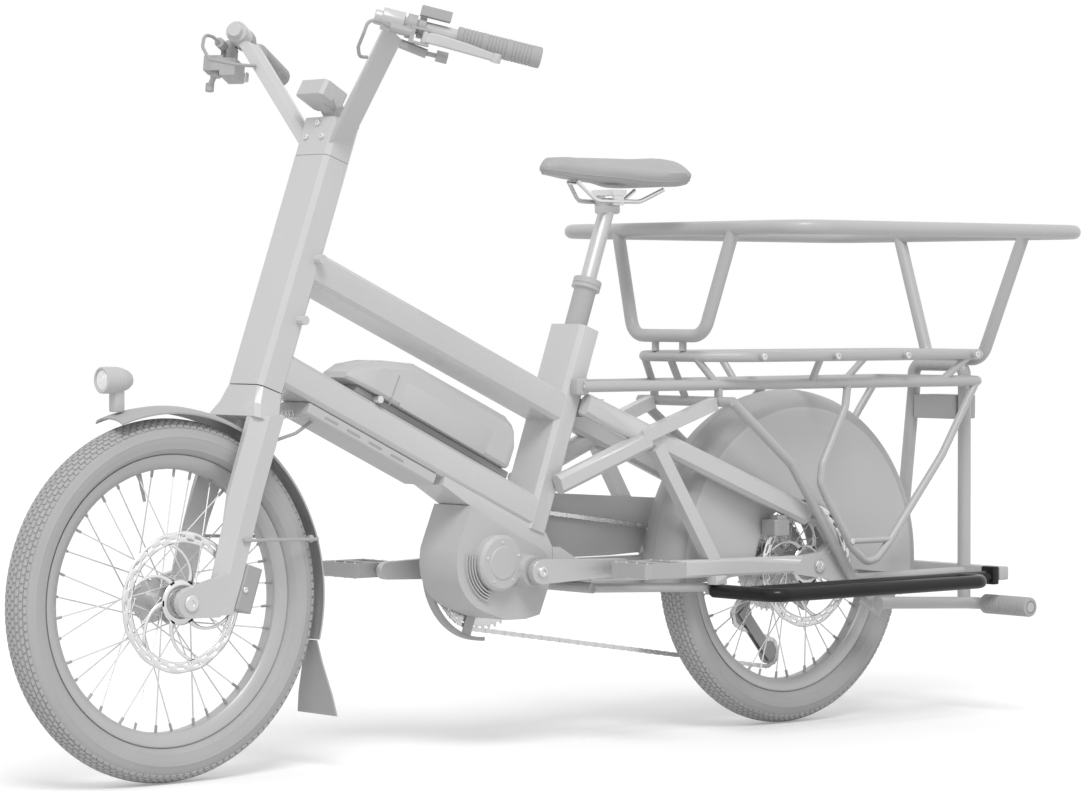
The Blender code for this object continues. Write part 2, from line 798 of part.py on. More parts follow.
steerer_bore = rod(head(-0.02), head(HEAD_TUBE_LENGTH + 0.02), STEERER_RADIUS + 0.0015, 16, ACROSS)
bearing_seat = BEARING_RADIUS / cos(pi / 16)
seats = [
    rod(head(-0.02), head(BEARING_DEPTH), bearing_seat, 16, ACROSS),
    rod(head(HEAD_TUBE_LENGTH - BEARING_DEPTH), head(HEAD_TUBE_LENGTH + 0.02), bearing_seat, 16, ACROSS),
]
post_bore = rod(
    seat(SEAT_TUBE_LENGTH - OUTER_POST_DEPTH - OUTER_POST_TRAVEL - 0.004), seat(SEAT_TUBE_LENGTH + 0.02),
    (OUTER_POST_RADIUS + GAP) / cos(pi / 16), 16, ACROSS,
)
frame = cut(frame, steerer_bore, *seats, post_bore)
keep(frame, "main_frame", frame_paint())


# Telescopic seat post
post_low = pivot("outer_post_slide", seat(SEAT_TUBE_LENGTH))
post_high = pivot("inner_post_slide", seat(SEAT_TUBE_LENGTH + OUTER_POST_SHOW), post_low)
saddle_place = seat(SEAT_TUBE_LENGTH + OUTER_POST_SHOW + INNER_POST_SHOW + 0.012)
saddle_pivot = pivot("saddle_tilt", saddle_place, post_high)
inner_bore = INNER_POST_RADIUS + GAP
outer_profile = [
    (OUTER_POST_RADIUS, -OUTER_POST_DEPTH), (OUTER_POST_RADIUS, OUTER_POST_SHOW - POST_COLLAR_HEIGHT),
    (POST_COLLAR_RADIUS, OUTER_POST_SHOW - POST_COLLAR_HEIGHT + 0.003), (POST_COLLAR_RADIUS, OUTER_POST_SHOW),
    (inner_bore, OUTER_POST_SHOW), (inner_bore, -OUTER_POST_DEPTH),
]
keep(turn(outer_profile, seat(SEAT_TUBE_LENGTH), SEAT_UP, 16), "seat_post_outer", dark_paint(), post_low)
post_top = SEAT_TUBE_LENGTH + OUTER_POST_SHOW + INNER_POST_SHOW
inner_post = rod(
    seat(SEAT_TUBE_LENGTH + OUTER_POST_SHOW - INNER_POST_DEPTH), seat(post_top), INNER_POST_RADIUS, 16, ACROSS,
)
post_head = block(seat(post_top + 0.002), (0.017, 0.0125, 0.010), Vector((1, 0, 0)), ACROSS, 0.003)
post_bolt = rod(seat(post_top + 0.012, 0, -0.018), seat(post_top + 0.012, 0, 0.018), 0.0055, 10, UP)
keep(weld(inner_post, post_head, post_bolt), "seat_post_inner", steel(), post_high)


# Saddle: a lofted cushion over a base, and its two rails
SADDLE_NOSE = saddle_pivot.matrix_world.translation.x - 0.135
SADDLE_TOP = saddle_pivot.matrix_world.translation.z + SADDLE_RISE
saddle_levels = (
    (0.000, 0.010, 0.006, 0.012), (0.010, 0.019, 0.012, 0.026), (0.060, 0.026, 0.017, 0.034),
    (0.120, 0.040, 0.020, 0.038), (0.175, 0.064, 0.024, 0.044), (0.220, 0.077, 0.025, 0.046),
    (0.250, 0.066, 0.024, 0.040), (0.262, 0.040, 0.016, 0.024),
)
saddle_sections = []
for reach, half_width, crown_drop, depth in saddle_levels:
    x = SADDLE_NOSE + reach * SADDLE_LENGTH / 0.262
    half_width *= SADDLE_HALF_WIDTH / 0.080
    middle = SADDLE_TOP - (0.002 if 0.05 < reach < 0.2 else 0)
    nose_drop = 0.013 if reach == 0 else 0.004 if reach < 0.02 else 0
    tail_drop = 0.010 if reach > 0.26 else 0
    top = middle - nose_drop - tail_drop
    ring = []
    for k in range(8):
        side = half_width * (k / 3.5 - 1)
        drop = crown_drop * (abs(side) / half_width) ** 2.4
        ring.append(Vector((x, side, top - drop)))
    ring.append(Vector((x, half_width * 0.80, top - depth)))
    ring.append(Vector((x, -half_width * 0.80, top - depth)))
    saddle_sections.append(ring)
keep(loft(saddle_sections), "saddle", rubber(), saddle_pivot)
pivot_place = saddle_pivot.matrix_world.translation
RAIL_SIDE = 0.022
RAIL_RADIUS = 0.0035
rails = []
for sign in (-1, 1):
    low = pivot_place.z
    path = [
        Vector((pivot_place.x - 0.075, sign * 0.010, SADDLE_TOP - 0.0405)),
        Vector((pivot_place.x - 0.045, sign * RAIL_SIDE, low)),
        Vector((pivot_place.x + 0.045, sign * RAIL_SIDE, low)),
        Vector((pivot_place.x + 0.085, sign * 0.034, SADDLE_TOP - 0.0500)),
    ]
    rails.append(tube(path, RAIL_RADIUS, 6, 0.02, 2))
yoke = block(pivot_place + Vector((0, 0, 0.0135)), (0.014, RAIL_SIDE + 0.004, 0.0045), Vector((1, 0, 0)), ACROSS)
ears = [
    block(pivot_place + Vector((0, sign * RAIL_SIDE, 0.004)), (0.010, 0.003 - GAP, 0.010)) for sign in (-1, 1)
]
nose_bar = rod(
    Vector((pivot_place.x - 0.073, -0.013, SADDLE_TOP - 0.0410)),
    Vector((pivot_place.x - 0.073, 0.013, SADDLE_TOP - 0.0410)), 0.004, 6, UP,
)
rail_set = weld(rails[0], rails[1], yoke, *ears, nose_bar)
keep(rail_set, "saddle_rails", steel(), saddle_pivot)


# Rear frame: mirrored stays, struts and dropout plates, joined across
STAY_INNER = STAY_OUTER - STAY_WALL


def rear_side(sign):
    stay = box_section(STAY_WALL, STAY_HEIGHT, 0.004)
    slim = box_section(0.018, 0.022)
    y = sign * (STAY_OUTER - STAY_WALL / 2)
    near = sign * (MAIN_TUBE_WIDTH / 2 + 0.012)
    chain = sweep([at(CRANK_BACK + 0.116, y * 0.84, 0.010), at(CRANK_BACK + 0.185, y * 0.875, 0.008),
                   rear(-0.200, y, 0.006), rear(-0.030, y, 0.004)], stay)
    arm = sweep([at(CRANK_BACK + BRACKET_REACH + GAP, sign * ARM_SIDE, CRANK_HEIGHT + 0.019),
                 at(CRANK_BACK + BRACKET_REACH + 0.012, sign * ARM_SIDE, CRANK_HEIGHT + 0.019),
                 at(CRANK_BACK + 0.124, sign * ARM_SIDE, 0.010)], box_section(0.016, 0.026))
    seat_stay = sweep([at(SEAT_TUBE_BACK + 0.085, near, 0.268), rear(-0.020, y, 0.083)],
                      box_section(STAY_WALL, 0.034, 0.006))
    low = sweep([at(SEAT_TUBE_BACK + 0.030, near, 0.146), at(SEAT_TUBE_BACK + 0.205, y * 0.86, 0.212)],
                box_section(STAY_WALL, 0.030, 0.006))
    strut = sweep([at(SEAT_TUBE_BACK + 0.218, y * 0.92, 0.200), at(SEAT_TUBE_BACK + 0.336, y * 0.98, 0.016)], slim)
    rise = sweep([at(SEAT_TUBE_BACK + 0.190, y * 0.88, 0.216), rear(-0.2235, y * 0.98, 0.2660)],
                 box_section(0.018, 0.020))
    outline = [
        rear(-0.060, 0, -0.010), rear(-0.034, 0, 0.018), rear(0.004, 0, 0.022), rear(0.022, 0, 0.036),
        rear(0.004, 0, 0.062), rear(-0.034, 0, 0.078), rear(-0.028, 0, 0.104), rear(0.006, 0, 0.092),
        rear(0.034, 0, 0.062), rear(0.062, 0, 0.000), rear(DROPOUT_REACH, 0, -0.014),
        rear(DROPOUT_REACH, 0, -0.036), rear(0.050, 0, -0.036), rear(0.020, 0, -0.022),
    ]
    edges = sorted((sign * STAY_OUTER, sign * (STAY_OUTER - REAR_DROPOUT_WALL)))
    dropout = plate(outline, edges[0], edges[1])
    return weld(chain, arm, seat_stay, low, strut, rise, dropout)


left_rear = rear_side(-1)
right_rear = rear_side(1)
stay_bridge = block(at(SEAT_TUBE_BACK + 0.1055, 0, 0.262), (0.010, 0.062, 0.014))
foot_bridge = block(at(CRANK_BACK + 0.125, 0, 0.009), (0.014, 0.066, 0.012))
lug_foot = BOARD_HEIGHT + flat(BOARD_TUBE) + GAP
board_lug = block(rear(BOARD_FRONT, -0.0835, lug_foot + 0.007), (0.012, 0.010, 0.007))
stand_top = STAND_HEIGHT + STAND_PIVOT_RADIUS + GAP
stand_lug = block(at(STAND_BACK, 0, (stand_top - 0.001) / 2), (0.012, 0.030, (-0.001 - stand_top) / 2))
hanger = block(rear(0.008, STAY_OUTER - 0.006, -0.031), (0.011, 0.004, 0.014))
rear_frame = weld(left_rear, right_rear, stay_bridge, foot_bridge, board_lug, stand_lug, hanger)
axle_bore = rod(rear(0, -0.10, 0), rear(0, 0.10, 0), REAR_AXLE_RADIUS + GAP, 16, UP)
keep(cut(rear_frame, axle_bore), "rear_frame", frame_paint())


# Rear carrier: deck, rails, struts, side loops
def rail_side(back):
    return 0.055 + 0.062 * (back + WHEEL_BASE - 0.745) / (WHEEL_BASE + RAIL_REAR - 0.745)


deck_path = [
    rear(DECK_FRONT, -0.062, DECK_HEIGHT), rear(DECK_FRONT, 0.062, DECK_HEIGHT),
    rear(DECK_FRONT + 0.056, DECK_HALF_WIDTH, DECK_HEIGHT), rear(DECK_REAR, DECK_HALF_WIDTH, DECK_HEIGHT),
    rear(DECK_REAR, -DECK_HALF_WIDTH, DECK_HEIGHT), rear(DECK_FRONT + 0.056, -DECK_HALF_WIDTH, DECK_HEIGHT),
]
deck = tube(deck_path, DECK_TUBE, 8, DECK_CORNER, 2, True, UP)
RAIL_FRONT = 0.745 - WHEEL_BASE
rail_path = [
    rear(RAIL_FRONT, -0.055, RAIL_HEIGHT), rear(RAIL_REAR, -0.117, RAIL_HEIGHT),
    rear(RAIL_REAR, 0.117, RAIL_HEIGHT), rear(RAIL_FRONT, 0.055, RAIL_HEIGHT),
]
rack_pieces = [tube(rail_path, RAIL_TUBE, 8, 0.020, 2, False, UP)]
for back in DECK_RUNGS:
    rung_end = ACROSS * (DECK_HALF_WIDTH + DECK_STUB)
    middle = rear(back, 0, DECK_HEIGHT)
    rack_pieces.append(rod(middle - rung_end, middle + rung_end, RUNG_TUBE, 6))
near_cross = rear(CROSS_BACK, 0, CROSS_UP)
rack_pieces.append(rod(near_cross - ACROSS * 0.110, near_cross + ACROSS * 0.110, SIDE_STRUT_TUBE, 8))
rack_pieces.append(rod(rear(DECK_FRONT, 0, DECK_HEIGHT - 0.002), near_cross + UP * 0.002, 0.006, 6))
for name, sign in SIDES:
    lug = at(0.745, sign * (MAIN_TUBE_WIDTH / 2 + GAP + 0.009), RAIL_HEIGHT)
    rack_pieces.append(block(lug, (0.012, 0.009, 0.013), chamfer=0.003))
    for deck_back, rail_back in DECK_STRUTS:
        rack_pieces.append(rod(
            rear(deck_back, sign * DECK_HALF_WIDTH, DECK_HEIGHT - 0.002),
            rear(rail_back, sign * rail_side(rail_back), RAIL_HEIGHT + 0.002), 0.006, 6,
        ))
    rack_pieces.append(rod(
        rear(DECK_FRONT, sign * FRONT_STRUT_SIDE, DECK_HEIGHT - 0.002),
        rear(-0.219, sign * rail_side(-0.219), RAIL_HEIGHT + 0.002), 0.006, 6,
    ))
    hanger_y = sign * rail_side(CROSS_BACK)
    rack_pieces.append(block(rear(CROSS_BACK, hanger_y, (CROSS_UP + RAIL_HEIGHT) / 2),
                             (0.004, 0.006, (RAIL_HEIGHT - CROSS_UP) / 2)))
    strut_path = [
        rear(CROSS_BACK, sign * 0.1080, CROSS_UP), rear(-0.0816, sign * 0.1045, 0.168),
        rear(0.0644, sign * 0.0970, -0.021), rear(0.108, sign * 0.0965, -0.054),
    ]
    rack_pieces.append(tube(strut_path, SIDE_STRUT_TUBE, 6, 0.030, 2))
    rack_pieces.append(rod(rear(-0.010, sign * (STAY_OUTER + GAP), 0.0757), rear(-0.010, sign * 0.103, 0.0757),
                           0.007, 8))
    foot_outline = [
        rear(0.100, 0, -0.040), rear(0.126, 0, -0.052), rear(0.152, 0, -0.070), rear(0.146, 0, -0.086),
        rear(0.118, 0, -0.078), rear(0.096, 0, -0.062),
    ]
    edges = sorted((sign * 0.0825, sign * STRUT_PLATE_SIDE))
    rack_pieces.append(plate(foot_outline, edges[0], edges[1]))
    loop_path = [
        rear(0.0544, sign * rail_side(0.0544), RAIL_HEIGHT - 0.004), rear(0.0310, sign * 0.113, 0.257),
        rear(-0.0276, sign * 0.120, 0.166), rear(-0.0330, sign * 0.121, 0.137), rear(-0.0186, sign * 0.121, 0.112),
        rear(0.0404, sign * 0.122, 0.028), rear(0.0704, sign * 0.123, 0.005), rear(0.0934, sign * 0.123, 0.009),
        rear(0.1204, sign * 0.123, 0.033), rear(0.2494, sign * 0.122, 0.175), rear(0.3014, sign * 0.119, 0.246),
        rear(0.3360, sign * rail_side(0.3360), RAIL_HEIGHT - 0.004),
    ]
    rack_pieces.append(sweep(loop_path, round_section(SIDE_LOOP_TUBE, 6)))
    rack_pieces.append(rod(rear(0.0330, sign * 0.122, 0.040), rear(0.1265, sign * 0.123, 0.040), 0.005, 6))
keep(weld(deck, *rack_pieces), "rack_frame", dark_paint())


# Rear hoop: arch, lower cross tube, side rails and handle tube
HOOP_BACK = RAIL_REAR + flat(RAIL_TUBE) + GAP + flat(HOOP_TUBE)
HOOP_TOP = DECK_HEIGHT - flat(DECK_TUBE) - flat(HOOP_TUBE) - GAP
hoop_path = [
    rear(HOOP_LEG_BACK, -0.079, HOOP_FOOT), rear(HOOP_BACK, -0.0585, 0.280), rear(HOOP_BACK, -0.0585, HOOP_TOP),
    rear(HOOP_BACK, 0.0585, HOOP_TOP), rear(HOOP_BACK, 0.0585, 0.280), rear(HOOP_LEG_BACK, 0.079, HOOP_FOOT),
]
hoop = tube(hoop_path, HOOP_TUBE, 8, 0.018, 2)
cross = block(rear(CROSS_TUBE_BACK, 0, CROSS_HEIGHT), (CROSS_TUBE, CROSS_HALF, CROSS_TUBE), chamfer=0.002)
hoop_pieces = [cross]
for name, sign in SIDES:
    hoop_pieces.append(rod(rear(DROPOUT_REACH + GAP, sign * 0.080, CROSS_HEIGHT - 0.001),
                           rear(CROSS_TUBE_BACK, sign * 0.080, CROSS_HEIGHT - 0.001), 0.008, 8))
handle_side = -(STRUT_PLATE_SIDE + GAP + flat(HANDLE_TUBE))
handle_path = [
    rear(0.124, handle_side, -0.066), rear(0.160, handle_side, -0.067), rear(HANDLE_BACK, -0.087, HANDLE_HEIGHT),
    rear(HANDLE_BACK, -HANDLE_END, HANDLE_HEIGHT),
]
hoop_pieces.append(tube(handle_path, HANDLE_TUBE, 8, 0.022, 2))
hoop_pieces.append(rod(rear(HANDLE_BACK, -HANDLE_END + 0.100, HANDLE_HEIGHT),
                       rear(HANDLE_BACK, -HANDLE_END, HANDLE_HEIGHT), HANDLE_SLEEVE, 12))
keep(weld(hoop, *hoop_pieces), "rear_hoop", dark_paint())


# Passenger ring with its two U-shaped legs
ring_path = [
    rear(RING_FRONT, -RING_HALF_WIDTH, RING_HEIGHT), rear(RING_FRONT, RING_HALF_WIDTH, RING_HEIGHT),
    rear(RING_REAR, RING_HALF_WIDTH, RING_HEIGHT), rear(RING_REAR, -RING_HALF_WIDTH, RING_HEIGHT),
]
ring = tube(ring_path, RING_TUBE, 8, RING_CORNER, 3, True, UP)
front_legs = [
    rear(RING_FRONT, -0.135, RING_HEIGHT - 0.002), rear(DECK_FRONT - 0.004, -0.082, DECK_HEIGHT + 0.033),
    rear(DECK_FRONT - 0.004, 0.082, DECK_HEIGHT + 0.033), rear(RING_FRONT, 0.135, RING_HEIGHT - 0.002),
]
rear_legs = [
    rear(RING_REAR, -0.144, RING_HEIGHT - 0.002), rear(LEG_REAR, -0.062, DECK_HEIGHT - 0.010),
    rear(LEG_REAR, 0.062, DECK_HEIGHT - 0.010), rear(RING_REAR, 0.144, RING_HEIGHT - 0.002),
]
ring_pieces = [tube(front_legs, LEG_TUBE, 8, 0.030, 2), tube(rear_legs, LEG_TUBE, 8, 0.030, 2)]
for name, sign in SIDES:
    foot = rear(DECK_FRONT - 0.002, sign * 0.032, DECK_HEIGHT + flat(DECK_TUBE) + GAP)
    ring_pieces.append(rod(foot, foot + UP * 0.026, 0.006, 8))
    stub_start = DECK_REAR + flat(DECK_TUBE) + GAP
    ring_pieces.append(block(rear((stub_start + LEG_REAR) / 2, sign * 0.036, DECK_HEIGHT + 0.001),
                             ((LEG_REAR - stub_start) / 2, 0.007, 0.006)))
keep(weld(ring, *ring_pieces), "safety_ring", dark_paint())

# Left foot board: a bent tube, its inner tube and the clamp on the cross tube
board_path = [
    rear(BOARD_FRONT, -0.0765, BOARD_HEIGHT), rear(BOARD_FRONT, -BOARD_OUTER, BOARD_HEIGHT),
    rear(BOARD_REAR, -BOARD_OUTER, BOARD_HEIGHT), rear(BOARD_REAR, -BOARD_INNER, BOARD_HEIGHT),
]
board = tube(board_path, BOARD_TUBE, 8, 0.028, 3, False, UP)
clamp_face = CROSS_TUBE_BACK - CROSS_TUBE - GAP
inner_tube = rod(rear(BOARD_FRONT, -BOARD_INNER, BOARD_HEIGHT), rear(clamp_face - 0.004, -BOARD_INNER, BOARD_HEIGHT),
                 BOARD_TUBE, 8)
clamp = block(rear(clamp_face - 0.007, -BOARD_INNER, BOARD_HEIGHT + 0.003), (0.007, 0.014, 0.015), chamfer=0.002)
keep(weld(board, inner_tube, clamp), "foot_board_left", black())


# Motor: case with its front drum and the round cover on the left
def below_bracket(point):
    return Vector((point.x, 0, point.z - 2 * GAP))


drum = at(CRANK_BACK - 0.054, 0, CRANK_HEIGHT + 0.014)
motor_outline = [at(0.5330, 0, 0.1190), at(0.506, 0, 0.054)]
motor_outline += arc_points(drum, MOTOR_DRUM_RADIUS, radians(172), radians(252), 7)
motor_outline += [
    at(0.600, 0, -0.0570), at(0.640, 0, -0.0575), at(0.668, 0, -0.052), at(0.686, 0, -0.010),
    below_bracket(bracket_outline[4]) - Vector((0.001, 0, 0)), below_bracket(bracket_outline[5]),
    below_bracket(bracket_outline[6]),
]
motor = plate(motor_outline, -MOTOR_HALF_WIDTH, MOTOR_HALF_WIDTH)
motor_cover = lathe([(COVER_RADIUS - 0.004, -0.062), (COVER_RADIUS, -0.058), (COVER_RADIUS, -0.040)], drum,
                    segments=24)
boss_left = lathe([(0.024, -0.0730), (0.026, -0.040)], CRANK, segments=16)
spindle_bore = rod(CRANK - ACROSS * 0.1, CRANK + ACROSS * 0.1, SPINDLE_RADIUS + 0.0012, 16)
keep(cut(weld(motor, motor_cover, boss_left), spindle_bore), "motor_case", plastic())

# Cable cover under the lower main tube
cover_drop = -MAIN_TUBE_HEIGHT / 2 - GAP - CABLE_COVER_DEPTH / 2
cable_cover = sweep([lower(0.078, cover_drop), lower(0.3400, cover_drop)],
                    box_section(2 * CABLE_COVER_HALF, CABLE_COVER_DEPTH, 0.004))
keep(cable_cover, "cable_cover", plastic())


# Cranks, one with the spindle, and their pedals
def crank_arm(sign, toward):
    pin = CRANK + Vector((toward * CRANK_LENGTH, 0, 0))
    if toward > 0:
        outline = arc_points(CRANK, 0.019, radians(90), radians(270), 6)
        outline += arc_points(pin, 0.0135, radians(-90), radians(90), 6)
    else:
        outline = arc_points(CRANK, 0.019, radians(-90), radians(90), 6)
        outline += arc_points(pin, 0.0135, radians(90), radians(270), 6)
    edges = sorted((sign * CRANK_OUTER, sign * (CRANK_OUTER - CRANK_WALL)))
    pedal_pin = rod(pin + ACROSS * sign * (CRANK_OUTER - 0.004), pin + ACROSS * sign * PEDAL_PIN_END,
                    PEDAL_PIN_RADIUS, 12)
    return weld(plate(outline, edges[0], edges[1]), pedal_pin)


left_crank = crank_arm(-1, 1)
spindle = rod(CRANK - ACROSS * (CRANK_OUTER - 0.003), CRANK + ACROSS * (CRANK_OUTER - 0.002), SPINDLE_RADIUS, 16)
keep(weld(left_crank, spindle), "crank_left", steel(), crank_spin)
right_crank = cut(crank_arm(1, -1), rod(CRANK, CRANK + ACROSS * 0.1, SPINDLE_RADIUS + GAP, 16))
keep(right_crank, "crank_right", steel(), crank_spin)


def make_pedal(name, sign, toward, joint):
    start = CRANK_OUTER + 0.0125
    centre = CRANK + Vector((toward * CRANK_LENGTH, sign * (start + PEDAL_LENGTH / 2), 0))
    body = block(centre, (PEDAL_DEPTH / 2, PEDAL_LENGTH / 2, PEDAL_HEIGHT / 2), chamfer=0.008)
    windows = [
        block(centre + Vector((side * 0.023, 0, 0)), (0.0115, PEDAL_LENGTH / 2 - 0.014, PEDAL_HEIGHT))
        for side in (-1, 1)
    ]
    bore = rod(centre - ACROSS * sign * 0.1, centre + ACROSS * sign * (PEDAL_LENGTH / 2 - 0.008),
               PEDAL_PIN_RADIUS + GAP, 12)
    return keep(cut(body, *windows, bore), name, plastic(), joint)


PEDAL_PLACE = {sign: CRANK + Vector((-sign * CRANK_LENGTH, sign * 0.1, 0)) for name, sign in SIDES}
make_pedal("pedal_left", -1, 1, pivot("pedal_left_axis", PEDAL_PLACE[-1], crank_spin))
make_pedal("pedal_right", 1, -1, pivot("pedal_right_axis", PEDAL_PLACE[1], crank_spin))

# Chainring: toothless ring, spider and hub on the spindle
ring_low = CHAIN_LINE - 0.0015
ring_high = CHAIN_LINE + 0.0015
ring_outer = CHAINRING_RADIUS - CHAIN_THICK / 2 - CHAIN_CLEARANCE
chainring = turn([(0.074, ring_low), (ring_outer, ring_low), (ring_outer, ring_high), (0.074, ring_high)],
                 CRANK, segments=24)
ring_hub = turn([(SPINDLE_RADIUS + GAP, ring_low), (0.024, ring_low), (0.024, ring_high),
                 (0.018, 0.075), (SPINDLE_RADIUS + GAP, 0.075)], CRANK, segments=16)
ring_arms = []
for i in range(4):
    angle = radians(45 + 90 * i)
    out = Vector((cos(angle), 0, sin(angle)))
    middle = CRANK + ACROSS * CHAIN_LINE
    ring_arms.append(sweep([middle + out * 0.018, middle + out * 0.078], box_section(0.0028, 0.016), ACROSS))
keep(weld(chainring, ring_hub, *ring_arms), "chainring", steel(), crank_spin)

# Guard round the chainring, with its three arms on the motor
guard_inner = GUARD_RADIUS - 0.006
guard = turn([(guard_inner, MOTOR_HALF_WIDTH + GAP), (GUARD_RADIUS, MOTOR_HALF_WIDTH + GAP),
              (GUARD_RADIUS, 0.060), (guard_inner, 0.060)], CRANK, ACROSS, 18, radians(-180), radians(195))
guard_arms = []
for degrees in (105, 180, 250):
    out = Vector((cos(radians(degrees)), 0, sin(radians(degrees))))
    middle = CRANK + ACROSS * (MOTOR_HALF_WIDTH + GAP + 0.001)
    guard_arms.append(sweep([middle + out * 0.045, middle + out * (guard_inner + 0.003)],
                            box_section(0.002, 0.018), ACROSS))
keep(weld(guard, *guard_arms), "chain_guard", plastic())


# The chain as one band, along the tangents between its wheels
def belt(wheels):
    links = []
    count = len(wheels)
    for i in range(count):
        centre, radius, spin = wheels[i]
        beyond, reach, other = wheels[(i + 1) % count]
        gap = beyond - centre
        along = atan2(gap.z, gap.x) + asin((spin * radius - other * reach) / gap.length)
        links.append(along)
    points = []
    for i in range(count):
        centre, radius, spin = wheels[i]
        arrive = links[i - 1]
        leave = links[i]
        bend = (leave - arrive) * spin % (2 * pi)
        steps = max(3, int(bend / radians(15)))
        for k in range(steps + 1):
            heading = arrive + spin * bend * k / steps
            right = Vector((sin(heading), 0, -cos(heading)))
            points.append(centre + right * radius * spin + ACROSS * CHAIN_LINE)
    return points


pitch = CHAIN_CLEARANCE + CHAIN_THICK / 2
chain_wheels = [
    (CRANK, CHAINRING_RADIUS, -1), (REAR, COG_RADII[CHAIN_COG] + pitch, -1),
    (GUIDE_WHEEL, JOCKEY_RADIUS + pitch, 1), (TENSION_WHEEL, JOCKEY_RADIUS + pitch, -1),
]
chain = sweep(belt(chain_wheels), box_section(CHAIN_WIDTH, CHAIN_THICK), ACROSS, True)
keep(chain, "chain", steel())

# Cassette: stepped cogs on the freehub
cog_bore = (FREEHUB_RADIUS + GAP) / cos(pi / 16)
cog_profile = [(cog_bore, CHAIN_LINE - (CHAIN_COG + 0.5) * COG_WIDTH)]
for i, radius in enumerate(COG_RADII):
    edge = CHAIN_LINE + (i - CHAIN_COG - 0.5) * COG_WIDTH
    cog_profile += [(radius, edge), (radius, edge + COG_WIDTH)]
cog_profile.append((cog_bore, cog_profile[-1][1]))
keep(turn(cog_profile, REAR, segments=16), "cassette", steel(), cassette_spin)

# Derailleur: body under the right dropout, and the cage with both wheels
knuckle = rear(0.010, 0, -0.040)
body_pieces = [
    rod(knuckle + ACROSS * 0.0622, knuckle + ACROSS * (STAY_OUTER - 0.010 - GAP), 0.0100, 10),
    sweep([knuckle + ACROSS * 0.0665, GUIDE_WHEEL + ACROSS * 0.0635 + Vector((0.004, 0, 0.004))],
          box_section(0.009, 0.018, 0.002), ACROSS),
]
guide_knuckle = rod(GUIDE_WHEEL + ACROSS * 0.0565, GUIDE_WHEEL + ACROSS * 0.0700, 0.0110, 10)
keep(weld(guide_knuckle, *body_pieces), "derailleur_body", plastic())
cage_along = (TENSION_WHEEL - GUIDE_WHEEL).normalized()
cage_pieces = []
for low, high in ((0.0443, 0.0463), (0.0535, 0.0560)):
    middle = ACROSS * (low + high) / 2
    cage_pieces.append(sweep([GUIDE_WHEEL + middle - cage_along * 0.010, TENSION_WHEEL + middle + cage_along * 0.012],
                             box_section(high - low, 0.020), ACROSS))
for wheel in (GUIDE_WHEEL, TENSION_WHEEL):
    cage_pieces.append(rod(wheel + ACROSS * 0.0450, wheel + ACROSS * 0.0550, 0.007, 8))
    cage_pieces.append(rod(wheel + ACROSS * 0.0485, wheel + ACROSS * 0.0515, JOCKEY_RADIUS, 12))
keep(weld(*cage_pieces), "derailleur_cage", plastic())


# Wheel covers: two half shells that meet over the tyre, held off the stays
def wheel_cover(sign):
    outer = COVER_SHELL_RADIUS
    side = COVER_HALF_WIDTH
    wall = COVER_WALL
    profile = [
        (COVER_INNER_RADIUS, side - wall), (COVER_INNER_RADIUS, side), (outer - 0.0225, side),
        (outer - 0.0070, side - 0.0160), (outer, side - 0.0330), (outer, GAP / 2), (outer - wall, GAP / 2),
        (outer - wall, side - 0.0335), (outer - 0.0095, side - 0.0180), (outer - 0.0235, side - wall),
    ]
    profile = [(r, sign * y) for r, y in profile]
    shell = turn(profile, REAR, ACROSS, 16, radians(-95), radians(191))
    bosses = [
        rod(rear(-0.1296, sign * (side - 0.002), 0.1274), rear(-0.1296, sign * (0.0585 - 2 * GAP), 0.1274), 0.008, 8),
        rod(rear(-0.1900, sign * (side - 0.002), 0.0065), rear(-0.1900, sign * (STAY_INNER - GAP), 0.0065), 0.007, 8),
    ]
    return weld(shell, *bosses)


keep(wheel_cover(-1), "wheel_cover_left", plastic())
keep(wheel_cover(1), "wheel_cover_right", plastic())

# Chain cover between the seat tube and the rear wheel, on the inside of the right stay
chain_cover = plate([at(0.700, 0, 0.1317), at(1.000, 0, 0.1125), at(0.966, 0, 0.026), at(0.900, 0, 0.0238),
                     at(0.780, 0, 0.0243)], 0.0555, 0.0585)
keep(chain_cover, "chain_cover", plastic())

# Double stand, folded up
stand = at(STAND_BACK, 0, STAND_HEIGHT)
stand_spin = pivot("stand_fold", stand)
stand_pieces = []
for name, sign in SIDES:
    side = ACROSS * sign * STAND_SIDE
    tip = at(STAND_BACK + STAND_LENGTH, 0, STAND_HEIGHT - 0.011)
    stand_pieces.append(rod(stand + side, tip + side, STAND_LEG_TUBE, 8))
    stand_pieces.append(block(tip + side - Vector((0.008, 0, 0.002)), (0.012, 0.0075, 0.009), chamfer=0.003))
stand_pieces.append(rod(stand + Vector((STAND_BAR_AT, -STAND_SIDE, -0.002)),
                        stand + Vector((STAND_BAR_AT, STAND_SIDE, -0.002)), 0.006, 8))
stand_bar = rod(stand - ACROSS * STAND_SIDE, stand + ACROSS * STAND_SIDE, STAND_PIVOT_RADIUS, 12)
keep(weld(stand_bar, *stand_pieces), "kickstand", dark_paint(), stand_spin)

# Rear light between the legs of the hoop
light = block(rear(0.385, 0, 0.250), (0.030, 0.0483, 0.020), chamfer=0.006)
keep(light, "rear_light", plastic())

